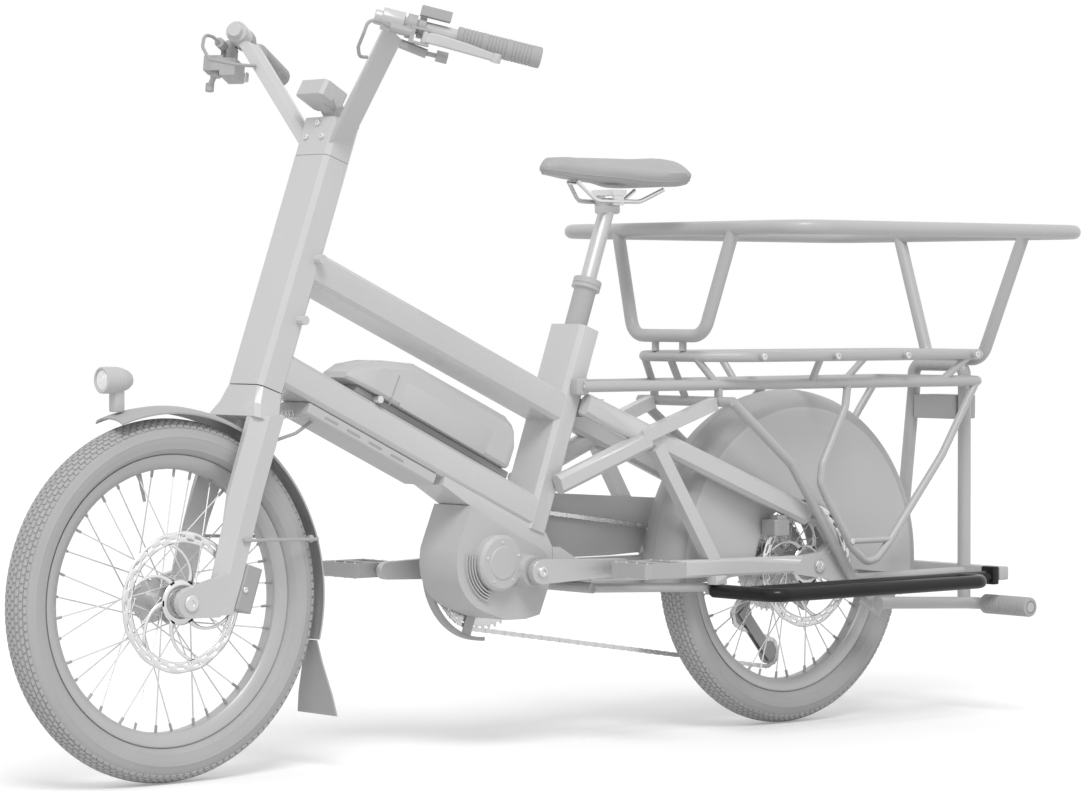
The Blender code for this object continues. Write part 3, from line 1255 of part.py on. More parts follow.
# Rail of the battery, its lock and the battery
rail_base = MAIN_TUBE_HEIGHT / 2 + GAP
rail_top = rail_base + BATTERY_RAIL
battery_foot = rail_top + GAP
battery_rail = sweep([lower(0.150, rail_base + BATTERY_RAIL / 2), lower(0.472, rail_base + BATTERY_RAIL / 2)],
                     box_section(2 * RAIL_HALF_WIDTH, BATTERY_RAIL, 0.002))
keep(battery_rail, "battery_rail", plastic())
lock_place = lower(0.188, rail_base + LOCK_RADIUS + GAP, -RAIL_HALF_WIDTH - GAP)
lock_spin = pivot("battery_lock_axis", lock_place)
lock = lathe([(LOCK_RADIUS, -0.015), (LOCK_RADIUS, 0)], lock_place, segments=14)
keep(lock, "battery_lock", steel(), lock_spin)
battery_levels = (
    (0.125, 0.046, 0.030), (0.138, 0.064, 0.037), (0.175, 0.087, 0.043), (0.231, 0.107, 0.043),
    (0.428, 0.1095, 0.043), (0.446, 0.103, 0.043), (0.457, 0.082, 0.042), (0.459, 0.056, 0.041),
)
battery_sections = []
for along, top, half_width in battery_levels:
    c = min(0.012, (top - battery_foot) * 0.5)
    battery_sections.append([
        lower(along, battery_foot, -half_width + 0.004), lower(along, battery_foot, half_width - 0.004),
        lower(along, battery_foot + 0.004, half_width), lower(along, top - c, half_width),
        lower(along, top, half_width - c), lower(along, top, c - half_width),
        lower(along, top - c, -half_width), lower(along, battery_foot + 0.004, -half_width),
    ])
battery_spin = pivot("battery_swing", lower(0.449, battery_foot, -0.020))
keep(loft(battery_sections), "battery", plastic(), battery_spin)

# Handlebar: base on the head tube, two box arms, two bars
RISER_BASE = HEAD_TUBE_LENGTH + 2 * GAP
riser = sweep([head(RISER_BASE), head(HEAD_TUBE_LENGTH + RISER_HEIGHT)],
              box_section(HEAD_TUBE_WIDTH, HEAD_TUBE_DEPTH, BOX_CHAMFER))


# A point at a distance along a bar, ahead of it and above it
def bar(sign, along, ahead=0.0, above=0.0):
    start = at(BAR_FRONT[0], sign * BAR_FRONT[1], BAR_FRONT[2])
    return start + bar_along(sign) * along + bar_ahead(sign) * ahead + bar_above(sign) * above


def bar_along(sign):
    start = Vector((BAR_FRONT[0], sign * BAR_FRONT[1], BAR_FRONT[2]))
    return (Vector((BAR_END[0], sign * BAR_END[1], BAR_END[2])) - start).normalized()


def bar_ahead(sign):
    along = bar_along(sign)
    return Vector((-abs(along.y), sign * abs(along.x), 0)).normalized()


def bar_above(sign):
    above = bar_along(sign).cross(bar_ahead(sign))
    return above if above.z > 0 else -above


BAR_LENGTH = (Vector(BAR_END) - Vector(BAR_FRONT)).length


# A section of an arm, deep on its outside, thin on its inside, and lower at the back by a slope
def arm_section(sign, up, slope=0.0):
    outline = [
        (0.0045, 0), (0.0015, 0.004), (0.0102, ARM_THICKNESS), (0.0230, ARM_THICKNESS),
        (ARM_DEPTH - 0.0030, 0.004), (ARM_DEPTH - 0.0030, 0),
    ]
    points = []
    for back, inward in outline:
        rise = up - slope * back - 0.655
        points.append(at(0.2669 - 0.057 * rise + back, sign * (0.0368 + 0.903 * rise - inward), 0.655 + rise))
    return points


handlebar_pieces = []
for name, sign in SIDES:
    handlebar_pieces.append(loft([arm_section(sign, 0.655), arm_section(sign, 0.820, 0.45)]))
    handlebar_pieces.append(rod(bar(sign, 0), bar(sign, BAR_LENGTH), BAR_RADIUS, 12))
    handlebar_pieces.append(rod(bar(sign, 0.011), bar(sign, 0.043), CLAMP_RADIUS, 12))
handlebar = weld(riser, *handlebar_pieces)
hose_holes = []
HOSE_HOLE = {}
for name, sign in SIDES:
    HOSE_HOLE[sign] = at(0.2748, sign * 0.1345, 0.7770)
    hose_holes.append(rod(HOSE_HOLE[sign] - Vector((0.012, 0, 0)), HOSE_HOLE[sign] - Vector((0.040, 0, 0)),
                          HOSE_RADIUS + 2 * GAP, 8))
blind_bore = rod(head(HEAD_TUBE_LENGTH - 0.01), head(HEAD_TUBE_LENGTH + 0.035), STEERER_RADIUS + GAP, 16, ACROSS)
keep(cut(handlebar, blind_bore, *hose_holes), "handlebar", frame_paint(), steering)


# Grips, brake bodies and levers
HOSE_AHEAD = 0.0300


def make_grip(name, sign):
    profile = [(BAR_RADIUS + GAP, BAR_LENGTH - GRIP_LENGTH), (GRIP_RADIUS, BAR_LENGTH - GRIP_LENGTH),
               (GRIP_RADIUS, BAR_LENGTH + 0.001), (BAR_RADIUS + GAP, BAR_LENGTH + 0.001)]
    return keep(turn(profile, bar(sign, 0), bar_along(sign), 16), name, rubber(), steering)


def bar_block(sign, along, ahead, above):
    centre = bar(sign, sum(along) / 2, sum(ahead) / 2, sum(above) / 2)
    half = ((along[1] - along[0]) / 2, (ahead[1] - ahead[0]) / 2, (above[1] - above[0]) / 2)
    return block(centre, half, bar_along(sign), bar_ahead(sign))


def clamp_ring(sign, low, high, outer):
    profile = [(BAR_RADIUS + GAP, low), (outer, low), (outer, high), (BAR_RADIUS + GAP, high)]
    return turn(profile, bar(sign, 0), bar_along(sign), 16)


def make_brake(name, sign):
    drop = LEVER_DROP
    pieces = [
        bar_block(sign, (0.0472, 0.0608), (0.0120, 0.0270), (drop - 0.006, drop + 0.012)),
        bar_block(sign, (0.0540, 0.0835), (0.0200, 0.0365), (drop + 0.0086, drop + 0.0120)),
        bar_block(sign, (0.0540, 0.0835), (0.0200, 0.0365), (drop - 0.0120, drop - 0.0086)),
        bar_block(sign, (0.0544, 0.0606), (0.0205, 0.0360), (drop - 0.0105, drop + 0.0105)),
        rod(bar(sign, 0.0245, HOSE_AHEAD, drop + 0.002), bar(sign, 0.0560, HOSE_AHEAD, drop + 0.002), 0.0075, 10),
    ]
    return weld(clamp_ring(sign, *BRAKE_CLAMP, CLAMP_RADIUS), *pieces)


def brake_lever(sign):
    drop = LEVER_DROP
    levels = ((LEVER_AT, 0.0314, 0.0, 0.0160), (0.096, 0.0430, -0.0005, 0.0165), (0.135, 0.0420, -0.0020, 0.0150),
              (0.181, 0.0385, -0.0050, 0.0110))
    sections = []
    for along, ahead, rise, height in levels:
        sections.append([bar(sign, along, ahead + a, drop + rise + b) for a, b in box_section(0.007, height, 0.002)])
    blade = loft(sections)
    hub = rod(bar(sign, LEVER_AT, 0.0314, drop - 0.0082), bar(sign, LEVER_AT, 0.0314, drop + 0.0082), 0.0050, 10,
              bar_ahead(sign))
    ball = rod(bar(sign, 0.181, 0.0385, drop - 0.0115), bar(sign, 0.181, 0.0385, drop + 0.0015), 0.0070, 10,
               bar_ahead(sign))
    return weld(blade, hub, ball)


make_grip("grip_left", -1)
make_grip("grip_right", 1)
thumb = [
    sweep([bar(-1, 0.0440, 0.0180, -0.0300), bar(-1, 0.0840, 0.0180, -0.0355)], box_section(0.012, 0.013, 0.003),
          bar_ahead(-1)),
    rod(bar(-1, 0.0820, 0.0180, -0.0350), bar(-1, 0.1000, 0.0180, -0.0345), 0.0035, 8),
    rod(bar(-1, 0.0980, 0.0180, -0.0345), bar(-1, 0.1145, 0.0180, -0.0345), 0.0085, 10),
]
keep(weld(make_brake("left", -1), *thumb), "brake_body_left", plastic(), steering)
shifter = [
    bar_block(1, (0.0350, 0.0830), (0.0060, 0.0300), (-0.0600, -0.0330)),
    bar_block(1, (0.0352, 0.0620), (0.0260, 0.0560), (-0.0520, -0.0290)),
    bar_block(1, (0.0460, 0.0580), (0.0100, 0.0250), (-0.0360, -0.0150)),
]
keep(weld(make_brake("right", 1), *shifter), "brake_body_right", plastic(), steering)
for name, sign in SIDES:
    lever_spin = pivot("brake_lever_%s_axis" % name, bar(sign, LEVER_AT, 0.0314, LEVER_DROP), steering)
    keep(brake_lever(sign), "brake_lever_" + name, steel(), lever_spin)
shift_spin = pivot("shift_lever_axis", bar(1, 0.050, 0.0400, -0.0523), steering)
shift_pieces = [
    rod(bar(1, 0.050, 0.0400, -0.0523), bar(1, 0.050, 0.0400, -0.0590), 0.0085, 10, bar_ahead(1)),
    sweep([bar(1, 0.050, 0.0420, -0.0560), bar(1, 0.0580, 0.0500, -0.0690)], box_section(0.010, 0.006, 0.0015),
          bar_along(1)),
    rod(bar(1, 0.0600, 0.0515, -0.0780), bar(1, 0.0600, 0.0515, -0.0660), 0.0065, 10, bar_ahead(1)),
]
keep(weld(*shift_pieces), "shift_lever", plastic(), shift_spin)
remote_ring = clamp_ring(-1, 0.0640, 0.0740, 0.0155)
remote_box = bar_block(-1, (0.0630, 0.1070), (-0.015, 0.016), (0.0172, 0.0315))
remote_foot = bar_block(-1, (0.0642, 0.0738), (-0.008, 0.008), (0.0130, 0.0200))
keep(weld(remote_ring, remote_foot, remote_box), "remote_control", plastic(), steering)

# Display on its stem
display_one = Vector((cos(DISPLAY_TILT), 0, -sin(DISPLAY_TILT)))
riser_top = HEAD_TUBE_LENGTH + RISER_HEIGHT
display_head = block(head(riser_top + DISPLAY_RISE, DISPLAY_AHEAD), (0.0235, 0.0320, 0.0125), display_one, ACROSS,
                     0.005)
display_stem = sweep([head(riser_top + GAP), head(riser_top + 0.014), head(riser_top + DISPLAY_RISE, 0.0260)],
                     box_section(0.026, 0.028, 0.004))
keep(weld(display_head, display_stem), "display", plastic(), steering)

# Brake hoses, from each brake body into the arm below it
for name, sign in SIDES:
    hole = HOSE_HOLE[sign]
    hose_path = [
        bar(sign, 0.0230, HOSE_AHEAD, LEVER_DROP + 0.002), bar(sign, 0.0100, HOSE_AHEAD + 0.006, -0.008),
        bar(sign, -0.0080, HOSE_AHEAD + 0.013, -0.010), at(0.2085, sign * 0.1950, 0.8060),
        at(0.2100, sign * 0.1800, 0.7870), hole + Vector((-0.040, sign * 0.016, 0.002)),
        hole + Vector((-0.024, 0, 0)), hole + Vector((-0.0125, 0, 0)),
    ]
    keep(tube(hose_path, HOSE_RADIUS, 6, 0.010, 1), "brake_hose_" + name, rubber(), steering)

# Front mudguard with its boss under the crown and its wire stay, and the mud flap
fender_centre = at(FENDER_BACK, 0, 0)
r = FENDER_RADIUS
w = FENDER_HALF_WIDTH
fender_profile = [
    (r, -0.36 * w), (r, 0.36 * w), (r - 0.008, w), (r - 0.008 - FENDER_WALL, w - 0.0005),
    (r - FENDER_WALL, 0.36 * w - 0.0005), (r - FENDER_WALL, -0.36 * w + 0.0005),
    (r - 0.008 - FENDER_WALL, -w + 0.0005), (r - 0.008, -w),
]
fender = turn(fender_profile, fender_centre, ACROSS, 16, radians(90) - FENDER_FRONT, FENDER_FRONT - FENDER_REAR)
fender_boss = rod(head(-CROWN_HEIGHT - 0.0170, 0.006), head(-CROWN_HEIGHT - GAP, 0.006), 0.008, 8, ACROSS)
stay_side = LEG_OUTER + GAP + STAY_WIRE
stay_path = [
    at(0.090, -stay_side, 0.085), at(0.106, -stay_side, 0.085), at(0.244, -0.0405, 0.080), at(0.2605, -0.018, 0.080),
    at(0.2605, 0.018, 0.080), at(0.244, 0.0405, 0.080), at(0.106, stay_side, 0.085), at(0.090, stay_side, 0.085),
]
fender_stay = sweep(stay_path, round_section(STAY_WIRE, 6), UP)
keep(weld(fender, fender_boss, fender_stay), "front_fender", plastic(), steering)
flap_top = -r * sin(-FENDER_REAR) - 0.0009
flap_sections = []
for back, half_width, up in ((0.2600, 0.016, flap_top), (0.2650, 0.024, -0.105), (0.2700, 0.040, -0.150),
                             (0.2735, 0.047, -0.1805)):
    flap_sections.append([at(back, -half_width, up), at(back, half_width, up),
                          at(back + 0.003, half_width, up), at(back + 0.003, -half_width, up)])
keep(loft(flap_sections), "mud_flap", rubber(), steering)

# Headlight on the front of the mudguard
lamp = at(-0.107, 0, 0.315)
lamp_body = lathe([(0.0165, 0.000), (0.019, 0.004), (0.019, 0.030), (0.014, 0.043), (0.010, 0.049)], lamp,
                  Vector((1, 0, 0)), 18)
lamp_foot = block(at(-0.080, 0, 0.2855), (0.008, 0.009, 0.0155))
keep(weld(lamp_body, lamp_foot), "headlight", plastic(), steering)

# Brake callipers, each with the slot for its disc and a foot on the frame
def disc_slot(centre, y):
    half = DISC_WALL / 2 + 0.0012
    return rod(centre + ACROSS * (y - half), centre + ACROSS * (y + half), DISC_RADIUS + 0.003, 30)


leg_slope = Vector((cos(LEG_SLOPE), 0, -sin(LEG_SLOPE)))
front_caliper = block(at(0.1024, FRONT_DISC_Y - 0.006, 0.0153), (0.0165, 0.0180, 0.033), leg_slope, ACROSS, 0.005)
keep(cut(front_caliper, disc_slot(FRONT, FRONT_DISC_Y)), "front_caliper", steel(), steering)
rear_caliper = block(rear(-0.0796, -0.0665, 0.0645), (0.0170, 0.0185, 0.0130), chamfer=0.004)
rear_foot = block(rear(-0.0796, -0.0740, 0.0800), (0.0100, 0.0080, 0.0045))
keep(cut(weld(rear_caliper, rear_foot), disc_slot(REAR, REAR_DISC_Y)), "rear_caliper", steel())
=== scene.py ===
import json
from math import asin, atan2, cos, pi, radians, sin

import bmesh
import bpy
from mathutils import Matrix, Vector

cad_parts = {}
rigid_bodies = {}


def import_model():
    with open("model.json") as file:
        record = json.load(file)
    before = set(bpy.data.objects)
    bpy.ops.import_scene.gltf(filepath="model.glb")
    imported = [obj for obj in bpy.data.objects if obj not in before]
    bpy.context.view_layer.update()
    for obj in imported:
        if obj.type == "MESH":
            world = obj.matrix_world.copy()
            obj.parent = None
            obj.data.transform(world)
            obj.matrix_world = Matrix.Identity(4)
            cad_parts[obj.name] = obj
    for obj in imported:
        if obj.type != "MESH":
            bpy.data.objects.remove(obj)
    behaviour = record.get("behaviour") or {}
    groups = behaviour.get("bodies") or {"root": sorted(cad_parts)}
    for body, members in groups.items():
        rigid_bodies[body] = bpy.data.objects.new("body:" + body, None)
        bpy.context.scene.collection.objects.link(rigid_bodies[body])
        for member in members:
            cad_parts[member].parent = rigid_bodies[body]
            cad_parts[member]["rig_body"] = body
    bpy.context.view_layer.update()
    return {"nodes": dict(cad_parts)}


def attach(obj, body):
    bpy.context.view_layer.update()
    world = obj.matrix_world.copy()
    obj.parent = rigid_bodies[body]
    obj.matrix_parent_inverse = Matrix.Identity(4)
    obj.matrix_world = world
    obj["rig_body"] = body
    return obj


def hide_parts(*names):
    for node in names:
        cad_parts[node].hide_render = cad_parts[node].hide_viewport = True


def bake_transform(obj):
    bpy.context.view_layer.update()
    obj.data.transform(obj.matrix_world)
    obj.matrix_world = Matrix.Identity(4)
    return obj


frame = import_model()
NODES = frame["nodes"]
scene = bpy.context.scene
scene.view_settings.view_transform = "Standard"

# %% [markdown]
# The photograph was taken from the left front with a long lens, a little above the pedals. A camera is an
# object whose own minus Z axis looks forward, so its turn is built from three directions: to the right of
# the picture, up, and back towards the photographer. Other helpers could aim it, but three vectors say
# exactly how it stands.
# %% Camera
EYE = Vector((-3.81786, -4.4336, 0.6822))
LOOK = Vector((0.6534, 0.7566, -0.024)).normalized()
RIGHT = LOOK.cross(Vector((0.0148, 0.019, 0.9997))).normalized()
lens = bpy.data.cameras.new("photo_camera")
lens.sensor_fit = "HORIZONTAL"
lens.sensor_width = 36
lens.lens = 125.77
lens.clip_end = 60
camera = bpy.data.objects.new("photo_camera", lens)
turn = Matrix((RIGHT, RIGHT.cross(LOOK), -LOOK)).transposed()
camera.matrix_world = Matrix.Translation(EYE) @ turn.to_4x4()
scene.collection.objects.link(camera)
scene.camera = camera
print("camera", [round(x, 3) for x in camera.location])

# %% [markdown]
# Sums on a surface are easiest to read when they look like sums. Link wraps one output of a shader node
# and lets Python's own signs add Math nodes. Add_node serves every tree of this file: it takes a node's
# type, its settings, then the values or links of its sockets. Finish is one material, and its node method
# gives a Link back. Colours never pass through a Math node, because that would turn them grey, so they
# are blended with a Mix node.
# %% Helpers for finishes
class Link:
    def __init__(self, finish, socket):
        self.finish = finish
        self.socket = socket

    def sum(self, operation, first, second):
        return self.finish.node("ShaderNodeMath", {"operation": operation}, {0: first, 1: second})

    def __add__(self, other):
        return self.sum("ADD", self, other)

    def __sub__(self, other):
        return self.sum("SUBTRACT", self, other)

    def __rsub__(self, other):
        return self.sum("SUBTRACT", other, self)

    def __mul__(self, other):
        return self.sum("MULTIPLY", self, other)

    def __gt__(self, other):
        return self.sum("GREATER_THAN", self, other)

    __radd__ = __add__
    __rmul__ = __mul__


def add_node(tree, kind, settings, sockets):
    node = tree.nodes.new(kind)
    for label, value in (settings or {}).items():
        if label == "stops":
            for i, (place, tone) in enumerate(value):
                ramp = node.color_ramp.elements
                stop = ramp[i] if i < len(ramp) else ramp.new(place)
                stop.position = place
                stop.color = (tone, tone, tone, 1)
        else:
            setattr(node, label, value)
    for label, value in (sockets or {}).items():
        if isinstance(value, Link):
            value = value.socket
        if isinstance(value, bpy.types.NodeSocket):
            tree.links.new(value, node.inputs[label])
        else:
            node.inputs[label].default_value = value
    return node


class Finish:
    def __init__(self, name, constants):
        self.material = bpy.data.materials.new(name)
        self.material.use_nodes = True
        self.tree = self.material.node_tree
        self.shader = self.tree.nodes["Principled BSDF"]
        for label, value in constants.items():
            self.shader.inputs[label].default_value = value
        self.place = self.node("ShaderNodeTexCoord", output="Object")

    def node(self, kind, settings=None, sockets=None, output=0):
        return Link(self, add_node(self.tree, kind, settings, sockets).outputs[output])

    def noise(self, scale, detail=2.0, stretch=None):
        place = self.place
        if stretch:
            place = self.node("ShaderNodeMapping", None, {"Vector": place, "Scale": stretch})
        return self.node("ShaderNodeTexNoise", None, {"Vector": place, "Scale": scale, "Detail": detail})

    def blend(self, factor, low, high):
        tones = {0: factor, 6: (*low, 1), 7: (*high, 1)}
        return self.node("ShaderNodeMix", {"data_type": "RGBA"}, tones, 2)

    def feed(self, label, link):
        self.tree.links.new(link.socket, self.shader.inputs[label])

    def relief(self, height, depth, strength=1.0):
        sockets = {"Height": height, "Distance": depth, "Strength": strength}
        self.feed("Normal", self.node("ShaderNodeBump", None, sockets))


class Surroundings(Finish):
    def __init__(self, world):
        self.tree = world.node_tree


print("helpers ready")

# %% [markdown]
# Paint, plastic and rubber differ less in colour than in how their skin breaks the light. Paint has a
# clear layer, a slow change of tone and a faint waviness; moulded plastic has a fine grain; rubber is dull
# and slightly dusty; steel shows drawn lines. One function makes each family from a tone, a grain size and
# a roughness, so pieces of one family stay related.
# %% Families of finish
def grey(tone, tint=(1.0, 1.0, 1.0)):
    return tuple(tone * part for part in tint)


def painted(name, tone, roughness=0.36, coat=0.35, drift=0.05, specular=0.5):
    paint = Finish(name, {"Coat Roughness": 0.12, "Specular IOR Level": specular})
    slow = paint.noise(7.0)
    scuff = paint.noise(46.0, 6.0) > 0.66
    shade = slow * 0.8 + scuff * 0.25
    paint.feed("Base Color", paint.blend(shade, grey(tone * (1 - drift)), grey(tone * (1 + drift))))
    paint.feed("Roughness", roughness - 0.05 + slow * 0.08 + scuff * 0.05)
    paint.feed("Coat Weight", coat - scuff * coat)
    paint.relief(paint.noise(520.0, 3.0), 0.00012, 0.35)
    return paint.material


def moulded(name, tone, roughness=0.55, grain=900.0, depth=0.00025, drift=0.06, tint=(1.0, 1.0, 1.0)):
    plastic = Finish(name, {})
    slow = plastic.noise(11.0)
    pits = plastic.noise(grain, 3.0)
    plastic.feed("Base Color", plastic.blend(slow * 0.7 + pits * 0.3, grey(tone * (1 - drift), tint),
                                             grey(tone * (1 + drift), tint)))
    plastic.feed("Roughness", roughness - 0.05 + pits * 0.12)
    plastic.relief(pits, depth, 0.6)
    return plastic.material


def drawn(name, tone, roughness=0.28, metal=0.85, stretch=(1.0, 1.0, 1.0)):
    steel = Finish(name, {"Metallic": metal})
    lines = steel.noise(160.0, 4.0, stretch)
    stain = steel.noise(14.0)
    steel.feed("Base Color", steel.blend(stain, grey(tone * 0.93), grey(tone * 1.05)))
    steel.feed("Roughness", roughness - 0.06 + lines * 0.14)
    steel.relief(lines, 0.00006, 0.4)
    return steel.material


FRAME_PAINT = painted("satin_frame_paint", 0.62)
FORK_PAINT = painted("satin_fork_paint", 0.6)
CARRIER_PAINT = painted("carrier_grey_paint", 0.51, 0.42, 0.2)
BOARD_PAINT = painted("board_black_paint", 0.012, 0.36, 0.3, 0.25, specular=0.15)
PLASTIC = moulded("moulded_grey_plastic", 0.46)
SHELL = moulded("smooth_shell_plastic", 0.57, 0.42, 500.0, 0.0001, 0.03)
MOTOR_SHELL = moulded("cast_motor_shell", 0.54, 0.46, 700.0, 0.0003)
DARK = moulded("dark_plastic", 0.34, 0.5)
RUBBER = moulded("grip_rubber", 0.44, 0.8, 1300.0, 0.0004)
FLAP = moulded("flap_rubber", 0.46, 0.75, 800.0, 0.0003)
TYRE = moulded("tyre_rubber", 0.46, 0.82, 1100.0, 0.0003, 0.08)
STEEL = drawn("drawn_steel", 0.8, 0.26, 0.8, (1.0, 6.0, 1.0))
DISC_STEEL = drawn("ground_disc_steel", 0.86, 0.22, 0.7, (1.0, 4.0, 1.0))
ALLOY = drawn("satin_alloy", 0.62, 0.38, 0.5)
RIM_ALLOY = drawn("dark_rim_alloy", 0.52, 0.36, 0.35)
FITTINGS = drawn("dark_fittings", 0.42, 0.4, 0.4)
GLASS = Finish("lens_glass", {"Coat Weight": 1.0, "Base Color": (0.88, 0.88, 0.88, 1)})
GLASS.relief(GLASS.noise(260.0, 1.0), 0.0006, 0.5)
GLASS.feed("Roughness", 0.06 + GLASS.noise(90.0) * 0.1)
LENS = GLASS.material
RED_LENS = moulded("red_reflector", 0.52, 0.18, 420.0, 0.0006, 0.04, (1.12, 0.94, 0.94))
SCREEN = moulded("display_glass", 0.3, 0.12, 90.0, 0.00002, 0.03)
CELL_LIGHTS = moulded("charge_light_lens", 0.82, 0.3, 200.0, 0.00005, 0.03)

COVER_CENTRE = (0.52774, 0.26)
PANEL_RADIUS = 0.256
cover_skin = Finish("wheel_cover_skin", {})
to_axle = {0: cover_skin.place, 1: (1, 0, 1), 2: (-COVER_CENTRE[0], 0, -COVER_CENTRE[1])}
level_place = cover_skin.node("ShaderNodeVectorMath", {"operation": "MULTIPLY_ADD"}, to_axle)
reach = cover_skin.node("ShaderNodeVectorMath", {"operation": "LENGTH"}, {0: level_place}, "Value")
band = reach > PANEL_RADIUS
cloud = cover_skin.noise(9.0)
cover_skin.feed("Base Color", cover_skin.blend(band * 0.85 + cloud * 0.15, grey(0.6), grey(0.45)))
cover_skin.feed("Roughness", 0.4 + cloud * 0.08)
cover_skin.relief(cover_skin.noise(500.0, 3.0), 0.0001, 0.5)
COVER_SKIN = cover_skin.material
print("finishes", len(bpy.data.materials))

# %% [markdown]
# The saddle's cover is a soft sheet with a pebbled grain. A Voronoi texture gives cells, and the distance
# to their edges gives the creases between pebbles; a slower noise darkens the places that are rubbed.
# %% Leather of the saddle
leather = Finish("grained_cover", {"Sheen Weight": 0.1})
cells = leather.node("ShaderNodeTexVoronoi", {"feature": "DISTANCE_TO_EDGE"},
                     {"Vector": leather.place, "Scale": 420.0})
creases = leather.node("ShaderNodeValToRGB", {"stops": [(0.0, 0.0), (0.12, 1.0)]}, {0: cells})
worn = leather.noise(16.0)
leather.feed("Base Color", leather.blend(worn * 0.7 + creases * 0.3, grey(0.4), grey(0.5)))
leather.feed("Roughness", 0.5 + worn * 0.14)
leather.relief(creases, 0.00025, 0.5)
LEATHER = leather.material
print("leather ready")

# %% [markdown]
# Most pieces start as loose faces in a bmesh. Turned makes a ring or a knob from a profile of pairs, the
# distance from the axis and the place along it, and may stop part of the way round for a mudguard. Boxed
# makes a block with eased edges. Both add to a bmesh, so several forms can share one piece. Show makes the
# piece and lets it ride on its body; a piece that spans a joint is shown without one.
# %% Helpers for shapes
ACROSS = Vector((0, 1, 0))
ONWARD = Vector((1, 0, 0))
UPWARD = Vector((0, 0, 1))


def across_pair(axis):
    helper = UPWARD if abs(axis.z) < 0.9 else ONWARD
    first = axis.cross(helper).normalized()
    return first, axis.cross(first).normalized()


def turned(mesh, profile, centre, axis=ACROSS, segments=64, loop=False, start=0.0, sweep=2 * pi):
    axis = axis.normalized()
    if axis == ACROSS:
        one, two = ONWARD, UPWARD
    else:
        one, two = across_pair(axis)
    whole = abs(sweep - 2 * pi) < 1e-6
    count = segments if whole else segments + 1
    rings = []
    for i in range(count):
        angle = start + sweep * i / segments
        out = one * cos(angle) + two * sin(angle)
        rings.append([mesh.verts.new(Vector(centre) + out * r + axis * a) for r, a in profile])
    pairs = list(range(len(profile))) if loop else list(range(len(profile) - 1))
    faces = []
    for i in range(count if whole else count - 1):
        here, there = rings[i], rings[(i + 1) % count]
        for k in pairs:
            n = (k + 1) % len(profile)
            faces.append(mesh.faces.new((here[k], here[n], there[n], there[k])))
    if not whole and loop:
        faces += [mesh.faces.new(rings[0]), mesh.faces.new(rings[-1])]
    bmesh.ops.remove_doubles(mesh, verts=[v for ring in rings for v in ring], dist=1e-7)
    bmesh.ops.recalc_face_normals(mesh, faces=[f for f in faces if f.is_valid])


def lathed(profile, centre, *details, **more):
    mesh = bmesh.new()
    turned(mesh, profile, centre, *details, **more)
    return mesh


def boxed(mesh, centre, half, along=ONWARD, side=ACROSS, ease=0.0008):
    along = along.normalized()
    side = side.normalized()
    up = along.cross(side).normalized()
    basis = Matrix((along * half[0], side * half[1], up * half[2])).transposed().to_4x4()
    made = bmesh.ops.create_cube(mesh, size=2.0, matrix=Matrix.Translation(centre) @ basis)
    if ease:
        edges = list(dict.fromkeys(e for v in made["verts"] for e in v.link_edges))
        bmesh.ops.bevel(mesh, geom=edges, offset=ease, segments=2, profile=0.5, affect="EDGES")


def show(name, mesh, body, slot, finish, *nodes, angle=40):
    data = bpy.data.meshes.new(name)
    mesh.to_mesh(data)
    mesh.free()
    data.materials.append(finish)
    data.shade_smooth()
    data.set_sharp_from_angle(angle=radians(angle))
    piece = bpy.data.objects.new(name, data)
    scene.collection.objects.link(piece)
    if body:
        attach(piece, body)
    if nodes:
        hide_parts(*nodes)
    return piece


def settled(piece):
    bpy.context.view_layer.update()
    depsgraph = bpy.context.evaluated_depsgraph_get()
    result = bpy.data.meshes.new_from_object(piece.evaluated_get(depsgraph), depsgraph=depsgraph)
    old = piece.data
    piece.modifiers.clear()
    piece.data = result
    bpy.data.meshes.remove(old)


print("shapes ready")

# %% [markdown]
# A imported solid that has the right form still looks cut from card, because its edges are perfectly sharp
# and no edge in the world is. Refined copies such a node, joins its loose triangles into whole faces, and
# rounds its edges with a small bevel, which is what draws the bright lines along a painted tube. The rear
# frame has slivers where its tubes meet, so it keeps its triangles and edges, and is shaded nearly flat.
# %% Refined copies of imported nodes
FLAT_WITHIN = radians(0.6)
BEVEL_FROM = radians(28)
SMOOTH_WITHIN = 38
FLAT_SHADED_WITHIN = 12


def refined(node, finish, slot, edge):
    mesh = bmesh.new()
    mesh.from_mesh(NODES[node].data)
    bmesh.ops.remove_doubles(mesh, verts=mesh.verts, dist=1e-5)
    if edge:
        bmesh.ops.dissolve_limit(mesh, angle_limit=FLAT_WITHIN, verts=mesh.verts, edges=mesh.edges)
    smooth = SMOOTH_WITHIN if edge else FLAT_SHADED_WITHIN
    piece = show(node + "_finished", mesh, NODES[node]["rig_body"], slot, finish, node, angle=smooth)
    if edge:
        bevel = piece.modifiers.new("edge", "BEVEL")
        bevel.width = edge
        bevel.segments = 2
        bevel.limit_method = "ANGLE"
        bevel.angle_limit = BEVEL_FROM
        bevel.harden_normals = True
        settled(piece)


